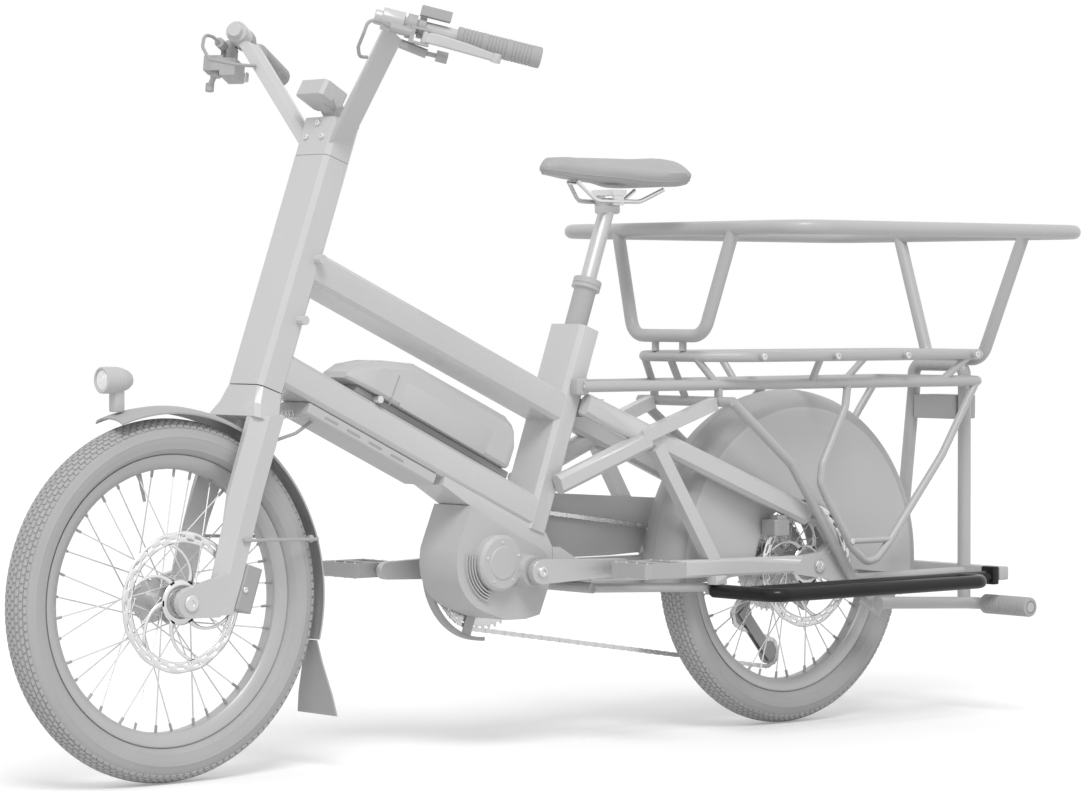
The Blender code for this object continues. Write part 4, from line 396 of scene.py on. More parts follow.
for nodes, finish, slot, edge in (
    ("main_frame", FRAME_PAINT, "frame_paint", 0.0016),
    ("rear_frame", FRAME_PAINT, "frame_paint", 0.0),
    ("fork", FORK_PAINT, "frame_paint", 0.0014),
    ("handlebar", FRAME_PAINT, "frame_paint", 0.001),
    ("motor_case", MOTOR_SHELL, "grey_plastic", 0.0018),
    ("cable_cover", SHELL, "grey_plastic", 0.0014),
    ("battery_rail", DARK, "grey_plastic", 0.0008),
    ("battery", SHELL, "grey_plastic", 0.003),
    ("derailleur_body", FITTINGS, "grey_plastic", 0.001),
    ("derailleur_cage", FITTINGS, "grey_plastic", 0.0005),
    ("chain_cover", PLASTIC, "grey_plastic", 0.0004),
    ("kickstand", CARRIER_PAINT, "carrier_paint", 0.0006),
    ("rear_light", PLASTIC, "light_plastic", 0.0016),
    ("mud_flap", FLAP, "soft_rubber", 0.0006),
    ("crank_left crank_right", ALLOY, "alloy", 0.001),
    ("pedal_left pedal_right", PLASTIC, "grey_plastic", 0.001),
    ("front_caliper rear_caliper", FITTINGS, "bright_steel", 0.0012),
    ("brake_body_left brake_body_right", PLASTIC, "grey_plastic", 0.0007),
    ("brake_lever_left brake_lever_right", ALLOY, "alloy", 0.0007),
    ("shift_lever", PLASTIC, "grey_plastic", 0.0005),
    ("remote_control", PLASTIC, "grey_plastic", 0.001),
    ("display", SHELL, "grey_plastic", 0.0036),
    ("saddle_rails", STEEL, "bright_steel", 0.0004),
    ("battery_lock", STEEL, "bright_steel", 0.0004),
    ("headset_bearing_lower headset_bearing_upper", STEEL, "bright_steel", 0.0003),
):
    for node in nodes.split():
        refined(node, finish, slot, edge)
print("refined nodes done")

# %% [markdown]
# A studio is a pale floor, a large even sky and one soft lamp. Sky and lamp together light a surface to
# about the colour that is written for it, and the sky shows as plain white to the camera, to mirrors and
# through glass. The floor is seen a little lighter than it lights, so that it meets the white background
# while it still keeps the soft shadow under the tyres.
# %% Floor, sky and lamp
sky = bpy.data.worlds.new("studio")
sky.use_nodes = True
scene.world = sky
around = Surroundings(sky)
rays = [around.node("ShaderNodeLightPath", output=label)
        for label in ("Is Camera Ray", "Is Glossy Ray", "Is Transmission Ray")]
seen = rays[0].sum("MAXIMUM", rays[0], rays[1])
seen = seen.sum("MAXIMUM", seen, rays[2])
SKY_LIGHT = 0.62
LAMP_LIGHT = 1.5
FLOOR_GLOW = 0.26
FLOOR_HALF_WIDTH = 14
level = around.node("ShaderNodeMapRange", None, {"Value": seen, "To Min": SKY_LIGHT, "To Max": 1.0})
backdrop = sky.node_tree.nodes["Background"]
backdrop.inputs["Color"].default_value = (1, 1, 1, 1)
sky.node_tree.links.new(level.socket, backdrop.inputs["Strength"])

lamp = bpy.data.lights.new("soft_sun", "SUN")
lamp.energy = LAMP_LIGHT
lamp.angle = radians(24)
lamp_object = bpy.data.objects.new("soft_sun", lamp)
lamp_object.rotation_euler = Vector((0.45, 0.62, -1.0)).to_track_quat("-Z", "Y").to_euler()
scene.collection.objects.link(lamp_object)

ground = bmesh.new()
bmesh.ops.create_grid(ground, x_segments=2, y_segments=2, size=FLOOR_HALF_WIDTH)
ground_data = bpy.data.meshes.new("studio_floor")
ground.to_mesh(ground_data)
ground.free()
floor = bpy.data.objects.new("studio_floor", ground_data)
floor.location.z = -0.0004
scene.collection.objects.link(floor)
matt = {"Roughness": 0.9, "Specular IOR Level": 0.1, "Emission Strength": FLOOR_GLOW}
card = Finish("studio_floor", matt)
card.feed("Base Color", card.blend(card.noise(3.0), grey(0.8), grey(0.82)))
card.feed("Emission Color", card.node("ShaderNodeLightPath", output="Is Camera Ray"))
floor.data.materials.append(card.material)
print("studio ready")

# %% [markdown]
# Geometry Nodes copy and sweep things by rule. Growth builds a node tree with named inputs, sets them by
# their identifiers before the object is first evaluated, and turns the result into a plain mesh. Two trees
# serve the whole bicycle: one follows lines with a round pipe, the other sets a small shape on each point.
# %% Helper for node trees
class Growth:
    def __init__(self, name, inputs):
        self.tree = bpy.data.node_groups.new(name, "GeometryNodeTree")
        panel = self.tree.interface
        panel.new_socket("Geometry", in_out="INPUT", socket_type="NodeSocketGeometry")
        for label, kind in inputs.items():
            panel.new_socket(label, in_out="INPUT", socket_type="NodeSocket" + kind)
        panel.new_socket("Geometry", in_out="OUTPUT", socket_type="NodeSocketGeometry")
        self.given = self.tree.nodes.new("NodeGroupInput").outputs
        self.result = self.tree.nodes.new("NodeGroupOutput").inputs[0]

    def node(self, kind, settings=None, sockets=None, output=0):
        return add_node(self.tree, kind, settings, sockets).outputs[output]

    def end(self, geometry):
        real = self.node("GeometryNodeRealizeInstances", None, {"Geometry": geometry})
        final = self.node("GeometryNodeSetMaterial", None,
                          {"Geometry": real, "Material": self.given["Finish"]})
        self.tree.links.new(final, self.result)

    def grow(self, seed, values):
        holder = bpy.data.objects.new("seed", seed)
        scene.collection.objects.link(holder)
        modifier = holder.modifiers.new("growth", "NODES")
        modifier.node_group = self.tree
        for item in self.tree.interface.items_tree:
            if item.item_type == "SOCKET" and item.in_out == "INPUT" and item.name in values:
                modifier[item.identifier] = values[item.name]
        bpy.context.view_layer.update()
        depsgraph = bpy.context.evaluated_depsgraph_get()
        grown = bpy.data.meshes.new_from_object(holder.evaluated_get(depsgraph), depsgraph=depsgraph)
        bpy.data.objects.remove(holder)
        bpy.data.meshes.remove(seed)
        return grown


pipe_tree = Growth("pipe_along_lines", {"Radius": "Float", "Bend": "Float", "Sides": "Int",
                                        "Finish": "Material"})
given = pipe_tree.given
line = pipe_tree.node("GeometryNodeMeshToCurve", None, {"Mesh": given["Geometry"]})
corner = {"Curve": line, "Count": 7, "Radius": given["Bend"], "Limit Radius": True}
line = pipe_tree.node("GeometryNodeFilletCurve", {"mode": "POLY"}, corner)
ring = pipe_tree.node("GeometryNodeCurvePrimitiveCircle", None,
                      {"Resolution": given["Sides"], "Radius": given["Radius"]})
pipe_tree.end(pipe_tree.node("GeometryNodeCurveToMesh", None,
                             {"Curve": line, "Profile Curve": ring, "Fill Caps": True}))

set_tree = Growth("shape_on_points", {"Shape": "Object", "Finish": "Material"})
given = set_tree.given
out = set_tree.node("GeometryNodeInputNamedAttribute", {"data_type": "FLOAT_VECTOR"}, {"Name": "out"})
along = set_tree.node("GeometryNodeInputNamedAttribute", {"data_type": "FLOAT_VECTOR"}, {"Name": "along"})
scale = set_tree.node("GeometryNodeInputNamedAttribute", {"data_type": "FLOAT"}, {"Name": "scale"})
stance = set_tree.node("FunctionNodeAxesToRotation", {"primary_axis": "Z", "secondary_axis": "X"},
                       {"Primary Axis": out, "Secondary Axis": along})
shape = set_tree.node("GeometryNodeObjectInfo", {"transform_space": "ORIGINAL"},
                      {"Object": given["Shape"]}, "Geometry")
copy = {"Points": given["Geometry"], "Instance": shape, "Rotation": stance, "Scale": scale}
set_tree.end(set_tree.node("GeometryNodeInstanceOnPoints", None, copy))
print("trees", len(bpy.data.node_groups))

# %% [markdown]
# These three functions are the everyday use of the two trees. Pipes takes runs of points, each open or
# closed, and gives round tubes with bent corners. Strewn puts one small template on many places, each
# with a point, the way it faces, the way it lies and a size. Merged joins meshes that ride together.
# %% Pipes and repeated shapes
def pipes(runs, radius, finish, bend=0.0, sides=16, closed=False):
    seed = bpy.data.meshes.new("runs")
    points = []
    edges = []
    for run in runs:
        first = len(points)
        points += [tuple(point) for point in run]
        edges += [(first + i, first + i + 1) for i in range(len(run) - 1)]
        if closed:
            edges.append((len(points) - 1, first))
    seed.from_pydata(points, edges, [])
    return pipe_tree.grow(seed, {"Radius": radius, "Bend": bend, "Sides": sides, "Finish": finish})


def strewn(shape, places, finish):
    seed = bpy.data.meshes.new("places")
    seed.from_pydata([tuple(place[0]) for place in places], [], [])
    for label, column in (("out", 1), ("along", 2)):
        data = seed.attributes.new(label, "FLOAT_VECTOR", "POINT").data
        data.foreach_set("vector", [x for place in places for x in place[column]])
    sizes = [place[3] if len(place) > 3 else 1.0 for place in places]
    seed.attributes.new("scale", "FLOAT", "POINT").data.foreach_set("value", sizes)
    data = bpy.data.meshes.new("template")
    shape.to_mesh(data)
    shape.free()
    template = bpy.data.objects.new("template", data)
    scene.collection.objects.link(template)
    grown = set_tree.grow(seed, {"Shape": template, "Finish": finish})
    bpy.data.objects.remove(template)
    return grown


def merged(*meshes):
    whole = bmesh.new()
    for mesh in meshes:
        if isinstance(mesh, bmesh.types.BMesh):
            data = bpy.data.meshes.new("part")
            mesh.to_mesh(data)
            mesh.free()
            mesh = data
        for label in ("out", "along", "scale"):
            if label in mesh.attributes:
                mesh.attributes.remove(mesh.attributes[label])
        whole.from_mesh(mesh)
        bpy.data.meshes.remove(mesh)
    for face in whole.faces:
        face.material_index = 0
    return whole


print("pipes and repeats ready")

# %% [markdown]
# The tyre is a ring turned from one profile: beads in the rim, a bulging sidewall with two thin mould
# lines, a rounded crown. Its tread is nine rows of small blocks that wrap over the shoulder, every second
# row shifted by half a step. A displacement could carve the grooves, but separate blocks keep their sharp
# edges with few faces and take the outline with them.
# %% Tyres with tread
FRONT = Vector((-0.70186, 0, 0.26))
REAR = Vector((0.52774, 0, 0.26))
TREAD_STEPS = 132
TYRE_HALF = [
    (0.2034, 0.012), (0.209, 0.0138), (0.2112, 0.018), (0.215, 0.0226), (0.2165, 0.024), (0.2172, 0.0249),
    (0.2185, 0.025), (0.224, 0.0275), (0.231, 0.0286), (0.233, 0.0287), (0.2336, 0.0291), (0.2344, 0.0285),
    (0.24, 0.0274), (0.245, 0.0249), (0.2495, 0.0213), (0.253, 0.017), (0.2556, 0.0115), (0.257, 0.006),
]
TYRE_INSIDE = [(0.253, 0.0), (0.25, 0.012), (0.243, 0.02), (0.232, 0.0235), (0.22, 0.0205), (0.211, 0.012),
               (0.204, 0.0085)]
TREAD_ROWS = ((0.0, 0.2575, 0), (0.0064, 0.257, 9), (0.0124, 0.255, 26), (0.0178, 0.252, 45),
              (0.0222, 0.2484, 60))


def wheel_point(centre, radius, angle, y):
    return centre + Vector((radius * cos(angle), y, radius * sin(angle)))


def tread_block():
    block = bmesh.new()
    low = [(-0.0048, -0.0027, -0.0006), (0.0048, -0.0027, -0.0006), (0.0048, 0.0027, -0.0006),
           (-0.0048, 0.0027, -0.0006)]
    verts = [block.verts.new(point) for point in low]
    verts += [block.verts.new((x * 0.86, y * 0.8, 0.0021)) for x, y, z in low]
    for i in range(4):
        block.faces.new((verts[i], verts[(i + 1) % 4], verts[4 + (i + 1) % 4], verts[4 + i]))
    block.faces.new(verts[4:])
    return block


def tyre(name, centre, body, node):
    casing = bmesh.new()
    other = [(r, -y) for r, y in reversed(TYRE_HALF)]
    inside = [(r, -y) for r, y in reversed(TYRE_INSIDE)] + TYRE_INSIDE[1:]
    turned(casing, TYRE_HALF + [(0.2575, 0.0)] + other + inside, centre, segments=120, loop=True)
    places = []
    for row, (y, radius, tilt) in enumerate(TREAD_ROWS):
        for side in ((1,) if row == 0 else (1, -1)):
            for step in range(TREAD_STEPS):
                angle = 2 * pi * (step + 0.5 * (row % 2)) / TREAD_STEPS
                lean = radians(tilt) * side
                face = Vector((cos(angle) * cos(lean), sin(lean), sin(angle) * cos(lean)))
                places.append((wheel_point(centre, radius, angle, y * side), face,
                               Vector((-sin(angle), 0, cos(angle)))))
    tread = strewn(tread_block(), places, TYRE)
    show(name, merged(casing, tread), body, "tyre_rubber", TYRE, node, angle=32)
    print(name, "blocks", len(places))


tyre("front_tyre_treaded", FRONT, "front_wheel", "front_tyre")
tyre("rear_tyre_treaded", REAR, "rear_wheel", "rear_tyre")

# %% [markdown]
# A rim is a hollow channel bent into a ring, so its profile shows from the side as a bright lip, a braking
# wall and a rounded bed where the spokes end. Thirty-six spokes leave the two hub flanges, cross each
# other once and end in nipples, which are dull grey like the other fittings. The valve stands inwards
# between two spokes.
# %% Rims, spokes, nipples and valves
RIM_HALF = [(0.1877, 0.006), (0.1881, 0.0088), (0.1898, 0.0108), (0.199, 0.0146), (0.206, 0.0165),
            (0.2078, 0.0166), (0.2085, 0.016), (0.2083, 0.0147), (0.204, 0.0145), (0.203, 0.0138)]
SPOKES = 36
SPOKE_RADIUS = 0.00105
HEAD_RADIUS = 0.0021
NIPPLE_RADIUS = 0.0022
VALVE_ANGLE = radians(103)
FRONT_FLANGES = (-0.028, 0.032)
REAR_FLANGES = (-0.033, 0.018)


def spoke_line(i, centre, flanges, inside, outside):
    rim_angle = 2 * pi * (i + 0.5) / SPOKES
    flange = flanges[i % 2]
    crossing = 1 if i % 4 < 2 else -1
    hub_angle = rim_angle + crossing * radians(58)
    stand_off = 0.0029 + (0.0014 if crossing * flange > 0 else 0)
    start = wheel_point(centre, 0.029, hub_angle, flange + crossing * stand_off)
    end = wheel_point(centre, 0.1902, rim_angle, 0.003 * (1 if flange > 0 else -1))
    along = (end - start).normalized()
    whole = (end - start).length
    return [start + along * inside * whole, start + along * (outside * whole)]


def spokes(centre, flanges, inside, outside, radius, finish, sides=8):
    lines = [spoke_line(i, centre, flanges, inside, outside) for i in range(SPOKES)]
    return pipes(lines, radius, finish, sides=sides)


def rim(name, centre, flanges, body, node):
    other = [(r, -y) for r, y in reversed(RIM_HALF)]
    channel = lathed(RIM_HALF + other, centre, segments=108, loop=True)
    show(name + "_rim_channel", channel, body, "alloy", RIM_ALLOY, node, angle=50)
    wires = spokes(centre, flanges, 0.0, 1.0, SPOKE_RADIUS, STEEL)
    heads = spokes(centre, flanges, -0.008, 0.004, HEAD_RADIUS, STEEL)
    show(name + "_spokes", merged(wires, heads), body, "bright_steel", STEEL)
    nipples = spokes(centre, flanges, 0.925, 0.995, NIPPLE_RADIUS, FITTINGS, sides=6)
    inwards = Vector((-cos(VALVE_ANGLE), 0, -sin(VALVE_ANGLE)))
    stem = lathed([(0.0, -0.146), (0.0022, -0.146), (0.0025, -0.15), (0.0025, -0.161), (0.003, -0.163),
                   (0.003, -0.19), (0.0, -0.19)], centre, inwards, 12)
    show(name + "_nipples", merged(nipples, stem), body, "bright_steel", FITTINGS)


rim("front", FRONT, FRONT_FLANGES, "front_wheel", "front_rim")
rim("rear", REAR, REAR_FLANGES, "rear_wheel", "rear_rim")
print("rims done")

# %% [markdown]
# Hubs are turned on a lathe, so a profile is all they need. The brake discs are stamped sheet: a band with
# rows of slanted slots, a wavy outer edge and curved arms to a small carrier. The band is built as a polar
# grid whose slot cells are left out, and the sheet then gets its thickness from a Solidify modifier.
# %% Hubs and slotted discs
FRONT_DISC_Y = -0.0425
REAR_DISC_Y = -0.0575
DISC_STEPS = 180
DISC_RINGS = (0.0845, 0.0872, 0.0905, 0.0925, 0.0958, 0.1012)
DISC_WAVES = 12
DISC_ARMS = 6
DISC_THICKNESS = 0.0019


def hub(name, centre, flanges, half, bore, disc_y, drive_end, body, node):
    face = disc_y + 0.0012
    points = [(bore + 0.003, -half + 0.0003), (bore + 0.0035, disc_y - 0.004), (0.0168, disc_y - 0.003),
              (0.0168, face), (0.025, face), (0.026, face + 0.001), (0.026, face + 0.005),
              (0.018, face + 0.0065), (0.014, flanges[0] - 0.004), (0.033, flanges[0] - 0.0015),
              (0.0335, flanges[0]), (0.033, flanges[0] + 0.0015), (0.014, flanges[0] + 0.004),
              (0.0132, (flanges[0] + flanges[1]) / 2), (0.014, flanges[1] - 0.004),
              (0.033, flanges[1] - 0.0015), (0.0335, flanges[1]), (0.033, flanges[1] + 0.0015)]
    if drive_end:
        points += [(0.0164, flanges[1] + 0.005), (0.0164, drive_end)]
    else:
        points += [(0.014, flanges[1] + 0.006), (0.0125, half - 0.01)]
    points += [(bore + 0.003, half - 0.005), (bore + 0.003, half - 0.0003), (bore + 0.0003, half - 0.0003),
               (bore + 0.0003, -half + 0.0003)]
    show(name, lathed(points, centre, segments=56, loop=True), body, "alloy", ALLOY, node)


def disc(name, centre, y, body, node):
    sheet = bmesh.new()

    def place(i, k):
        wave = 0.0006 * (1 + cos(DISC_WAVES * 2 * pi * i / DISC_STEPS)) if k == 5 else 0
        radius = DISC_RINGS[k] - wave
        angle = 2 * pi * i / DISC_STEPS + (radius - DISC_RINGS[0]) * 7.0
        return wheel_point(centre, radius, angle, y)

    grid = [[sheet.verts.new(place(i, k)) for k in range(6)] for i in range(DISC_STEPS)]
    for i in range(DISC_STEPS):
        n = (i + 1) % DISC_STEPS
        for k in range(5):
            slot = (k == 1 and i % 9 in (1, 2, 3, 4)) or (k == 3 and i % 9 in (5, 6, 7, 8))
            if not slot:
                sheet.faces.new((grid[i][k], grid[i][k + 1], grid[n][k + 1], grid[n][k]))
    for arm in range(DISC_ARMS):
        before = None
        for s in range(11):
            share = s / 10
            radius = 0.03 + 0.0555 * share
            angle = 2 * pi * arm / DISC_ARMS + 0.75 * share ** 1.3
            half = 0.0044 - 0.0016 * sin(pi * share)
            pair = [sheet.verts.new(wheel_point(centre, radius, angle + side * half / radius, y))
                    for side in (1, -1)]
            if before:
                sheet.faces.new((before[0], before[1], pair[1], pair[0]))
            before = pair
    for i in range(72):
        corners = [(0.0172, i), (0.0325, i), (0.0325, i + 1), (0.0172, i + 1)]
        sheet.faces.new([sheet.verts.new(wheel_point(centre, r, 2 * pi * (n % 72) / 72, y))
                         for r, n in corners])
    bmesh.ops.remove_doubles(sheet, verts=sheet.verts, dist=1e-6)
    bmesh.ops.recalc_face_normals(sheet, faces=sheet.faces)
    piece = show(name, sheet, body, "bright_steel", DISC_STEEL, node, angle=30)
    thick = piece.modifiers.new("thickness", "SOLIDIFY")
    thick.thickness = DISC_THICKNESS
    thick.offset = 0.0
    settled(piece)


hub("front_hub_turned", FRONT, FRONT_FLANGES, 0.055, 0.0075, FRONT_DISC_Y, 0, "front_wheel", "front_hub")
hub("rear_hub_turned", REAR, REAR_FLANGES, 0.074, 0.006, REAR_DISC_Y, 0.069, "rear_wheel", "rear_hub")
disc("front_disc_slotted", FRONT, FRONT_DISC_Y, "front_wheel", "front_brake_disc")
disc("rear_disc_slotted", REAR, REAR_DISC_Y, "rear_wheel", "rear_brake_disc")
print("hubs and discs done")

# %% [markdown]
# The carrier is welded from round tube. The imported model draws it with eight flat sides; here the same
# runs go through the pipe tree, which rounds them and gives every corner a real bend. Points are given
# from the rear axle: how far behind it, to the right and above it.
# %% Carrier, ring, hoop and foot board
DECK_TUBE = 0.0085
RUNG_TUBE = 0.007
STRUT_TUBE = 0.006
SIDE_TUBE = 0.008
LOOP_TUBE = 0.0065
TIE_TUBE = 0.005
BOLT_TUBE = 0.007
HOOP_TUBE = 0.011
HANDLE_TUBE = 0.01
RING_TUBE = 0.0115
LEG_TUBE = 0.0105
BOARD_TUBE = 0.011


def behind(back, side, up):
    return REAR + Vector((back, side, up))


def run(points, sign=1):
    return [behind(back, sign * side, up) for back, side, up in points]


def mirrored(half, place=behind):
    return [place(x, -y, z) for x, y, z in half] + [place(x, y, z) for x, y, z in reversed(half)]


def tubes(runs, radius, bend=0.0, sides=16, closed=False):
    return pipes(runs, radius, CARRIER_PAINT, bend, sides, closed)


def rail_side(back):
    return 0.055 + 0.062 * (back + 0.4846) / 0.8366


deck_loop = run([(-0.25, -0.062, 0.34), (-0.25, 0.062, 0.34), (-0.194, 0.118, 0.34), (0.368, 0.118, 0.34),
                 (0.368, -0.118, 0.34), (-0.194, -0.118, 0.34)])
rails = mirrored([(-0.4846, 0.055, 0.2955), (0.352, 0.117, 0.2955)])
rungs = [mirrored([(back, 0.133, 0.34)]) for back in (-0.17, -0.005, 0.157, 0.32)]
cross_tube = mirrored([(-0.2148, 0.11, 0.2686)])
thin = [run([(-0.25, 0, 0.338), (-0.2148, 0, 0.2706)])]
side_struts, side_loops, ties, bolts = [], [], [], []
plates = bmesh.new()
for sign in (-1, 1):
    for low, high in ((-0.029, -0.023), (0.32, 0.26)):
        thin.append(run([(low, 0.118, 0.338), (high, rail_side(high), 0.2975)], sign))
    thin.append(run([(-0.25, 0.06, 0.338), (-0.219, rail_side(-0.219), 0.2975)], sign))
    side_struts.append(run([(-0.2148, 0.108, 0.2686), (-0.0816, 0.1045, 0.168), (0.0644, 0.097, -0.021),
                            (0.108, 0.0965, -0.054)], sign))
    side_loops.append(run([
        (0.0544, rail_side(0.0544), 0.2915), (0.031, 0.113, 0.257), (-0.0276, 0.12, 0.166),
        (-0.033, 0.121, 0.137), (-0.0186, 0.121, 0.112), (0.0404, 0.122, 0.028), (0.0704, 0.123, 0.005),
        (0.0934, 0.123, 0.009), (0.1204, 0.123, 0.033), (0.2494, 0.122, 0.175), (0.3014, 0.119, 0.246),
        (0.336, rail_side(0.336), 0.2915)], sign))
    ties.append(run([(0.033, 0.122, 0.04), (0.1265, 0.123, 0.04)], sign))
    bolts.append(run([(-0.01, 0.0863, 0.0757), (-0.01, 0.103, 0.0757)], sign))
    boxed(plates, behind(-0.4846, sign * 0.0493, 0.2955), (0.012, 0.009, 0.013), ease=0.003)
    boxed(plates, behind(-0.2148, sign * rail_side(-0.2148), 0.282), (0.004, 0.006, 0.0135))
    boxed(plates, behind(0.122, sign * 0.0863, -0.062), (0.027, 0.0037, 0.017), Vector((0.85, 0, -0.52)),
          ease=0.002)
rack = merged(
    tubes([deck_loop], DECK_TUBE, 0.045, closed=True), tubes([rails], DECK_TUBE, 0.02),
    tubes(rungs, RUNG_TUBE), tubes(thin, STRUT_TUBE, sides=12), tubes(side_struts, SIDE_TUBE, 0.03),
    tubes([cross_tube], SIDE_TUBE), tubes(side_loops, LOOP_TUBE, 0.02, 12),
    tubes(ties, TIE_TUBE, sides=12), tubes(bolts, BOLT_TUBE), plates,
)
show("carrier_tubes", rack, "frame", "carrier_paint", CARRIER_PAINT, "rack_frame", angle=45)

hoop = mirrored([(0.35, 0.079, -0.072), (0.3713, 0.0585, 0.28), (0.3713, 0.0585, 0.3212)])
handle = run([(0.124, -0.0998, -0.066), (0.16, -0.0998, -0.067), (0.365, -0.087, -0.078),
              (0.365, -0.215, -0.078)])
side_bars = [run([(0.0723, 0.08, -0.025), (0.355, 0.08, -0.025)], sign) for sign in (-1, 1)]
cross = bmesh.new()
boxed(cross, behind(0.355, 0, -0.024), (0.011, 0.165, 0.011), ease=0.002)
rear_hoop = merged(tubes([hoop], HOOP_TUBE, 0.018, 20), tubes([handle], HANDLE_TUBE, 0.022),
                   tubes(side_bars, SIDE_TUBE), cross)
show("rear_hoop_tubes", rear_hoop, "frame", "carrier_paint", CARRIER_PAINT, "rear_hoop", angle=45)

ring_loop = run([(-0.24, -0.287, 0.542), (-0.24, 0.287, 0.542), (0.4235, 0.287, 0.542),
                 (0.4235, -0.287, 0.542)])
legs = [mirrored([(-0.24, 0.135, 0.54), (-0.254, 0.082, 0.373)]),
        mirrored([(0.4235, 0.144, 0.54), (0.41, 0.062, 0.33)])]
feet = [run([(-0.252, 0.032, 0.3486), (-0.252, 0.032, 0.372)], sign) for sign in (-1, 1)]
stubs = bmesh.new()
for sign in (-1, 1):
    boxed(stubs, behind(0.393, sign * 0.036, 0.341), (0.0166, 0.007, 0.006), ease=0.0015)
passenger_ring = merged(tubes([ring_loop], RING_TUBE, 0.06, 20, True), tubes(legs, LEG_TUBE, 0.032, 20),
                        tubes(feet, STRUT_TUBE), stubs)
show("passenger_ring_tubes", passenger_ring, "frame", "carrier_paint", CARRIER_PAINT, "safety_ring",
     angle=45)

board = run([(-0.225, -0.0765, -0.03), (-0.225, -0.216, -0.03), (0.258, -0.216, -0.03),
             (0.258, -0.15, -0.03)])
board_tube = run([(-0.225, -0.15, -0.03), (0.34, -0.15, -0.03)])
clamp = bmesh.new()
boxed(clamp, behind(0.3368, -0.15, -0.027), (0.007, 0.014, 0.015), ease=0.002)
foot_board = merged(pipes([board], BOARD_TUBE, BOARD_PAINT, 0.028, 20), clamp,
                    pipes([board_tube], BOARD_TUBE, BOARD_PAINT))
show("foot_board_tubes", foot_board, "frame", "board_paint", BOARD_PAINT, "foot_board_left", angle=45)
print("carrier done")

# %% [markdown]
# The sleeve on the handle tube and the two grips are rubber mouldings with rings cut round them. Each is a
# turned profile; a short loop writes the grooves, so their number and depth are easy to change.
# %% Grips and handle sleeve
def bar_frame(sign):
    along = Vector((0.78515, 0.57209 * sign, -0.23718))
    ahead = Vector((-0.5889, 0.80821 * sign, 0))
    above = Vector((0.19169, 0.13967 * sign, 0.97147))
    return Vector((-0.45386, 0.1695 * sign, 1.093)), along, ahead, above


def bar(sign, along, ahead=0.0, above=0.0):
    start, x, y, z = bar_frame(sign)
    return start + x * along + y * ahead + z * above


def grooved(low, high, radius, pitch, groove):
    profile = [(0.0, low), (radius - 0.001, low), (radius, low + 0.001), (radius, low + 0.003),
               (radius, low + 0.004)]
    count = int((high - low - 0.014) / pitch)
    for i in range(count):
        start = low + 0.008 + i * pitch
        if i % 7 != 6:
            profile += [(radius, start), (radius - groove, start + pitch * 0.12),
                        (radius - groove, start + pitch * 0.3), (radius, start + pitch * 0.42)]
    profile += [(radius, high - 0.003), (radius - 0.0008, high - 0.0008), (radius - 0.003, high),
                (radius * 0.55, high), (radius * 0.5, high - 0.001), (0.0, high - 0.001)]
    return profile


for side, sign in (("left", -1), ("right", 1)):
    start, along, ahead, above = bar_frame(sign)
    grip = lathed(grooved(0.121, 0.2453, 0.0155, 0.0052, 0.0009), start, along, 40)
    show("grip_" + side + "_ribbed", grip, "steering", "soft_rubber", RUBBER, "grip_" + side, angle=30)
sleeve = lathed(grooved(-0.1, 0.0, 0.0163, 0.006, 0.0008), behind(0.365, -0.215, -0.078), -ACROSS, 40)
show("handle_sleeve", sleeve, "frame", "soft_rubber", RUBBER, angle=30)
print("grips done")

# %% [markdown]
# Wheel covers, mudguard and chain guard are thin shells bent round an axle, so each is one profile turned
# part of the way. The covers have a flat round panel with a darker band outside it and a rolled shoulder;
# the mudguard has a crown line down its middle.
# %% Shells round the wheels
def cover(name, sign, node):
    half = [(0.105, 0.042), (0.105, 0.045), (0.1075, 0.0455), (0.111, 0.045), (0.25, 0.045),
            (0.2535, 0.0452), (0.256, 0.0446), (0.261, 0.0444), (0.266, 0.0425), (0.272, 0.038),
            (0.2775, 0.03), (0.2815, 0.02), (0.2836, 0.01), (0.2845, 0.002), (0.2845, 0.0002),
            (0.2815, 0.0002), (0.2785, 0.019), (0.2745, 0.028), (0.269, 0.035), (0.262, 0.0415),
            (0.248, 0.042)]
    shell = bmesh.new()
    turned(shell, [(r, sign * y) for r, y in half], REAR, segments=88, loop=True, start=radians(-6),
           sweep=radians(191))
    for x, z, reach, radius in ((-0.1296, 0.1274, 0.058, 0.008), (-0.19, 0.0065, 0.0635, 0.007)):
        turned(shell, [(0.0, 0.043), (radius, 0.043), (radius, reach - 0.0008), (radius - 0.0008, reach),
                       (0.0, reach)], behind(x, 0, z), ACROSS * sign, 24)
    show(name, shell, "frame", "grey_plastic", COVER_SKIN, node, angle=34)


cover("wheel_cover_left_shell", -1, "wheel_cover_left")
cover("wheel_cover_right_shell", 1, "wheel_cover_right")
guard = bmesh.new()
crown = [(0.269, -0.0335), (0.273, -0.0275), (0.2756, -0.019), (0.2768, -0.01), (0.2771, -0.003),
         (0.2778, 0.0)]
outer = crown + [(r, -y) for r, y in reversed(crown[:-1])]
inner = [(r - 0.0023, y * 0.985) for r, y in reversed(outer)]
turned(guard, outer + inner, FRONT + Vector((-0.006, 0, 0)), segments=72, loop=True, start=radians(-14.5),
       sweep=radians(123.5))
HEAD_FOOT = Vector((-0.5392, 0, 0.55919))
STEER_UP = Vector((0.33874, 0, 0.94088))
STEER_FORWARD = Vector((-0.94088, 0, 0.33874))


def head(along, forward=0.0, side=0.0):
    return HEAD_FOOT + STEER_UP * along + STEER_FORWARD * forward + ACROSS * side


def ahead_of(back, side, up):
    return FRONT + Vector((back, side, up))


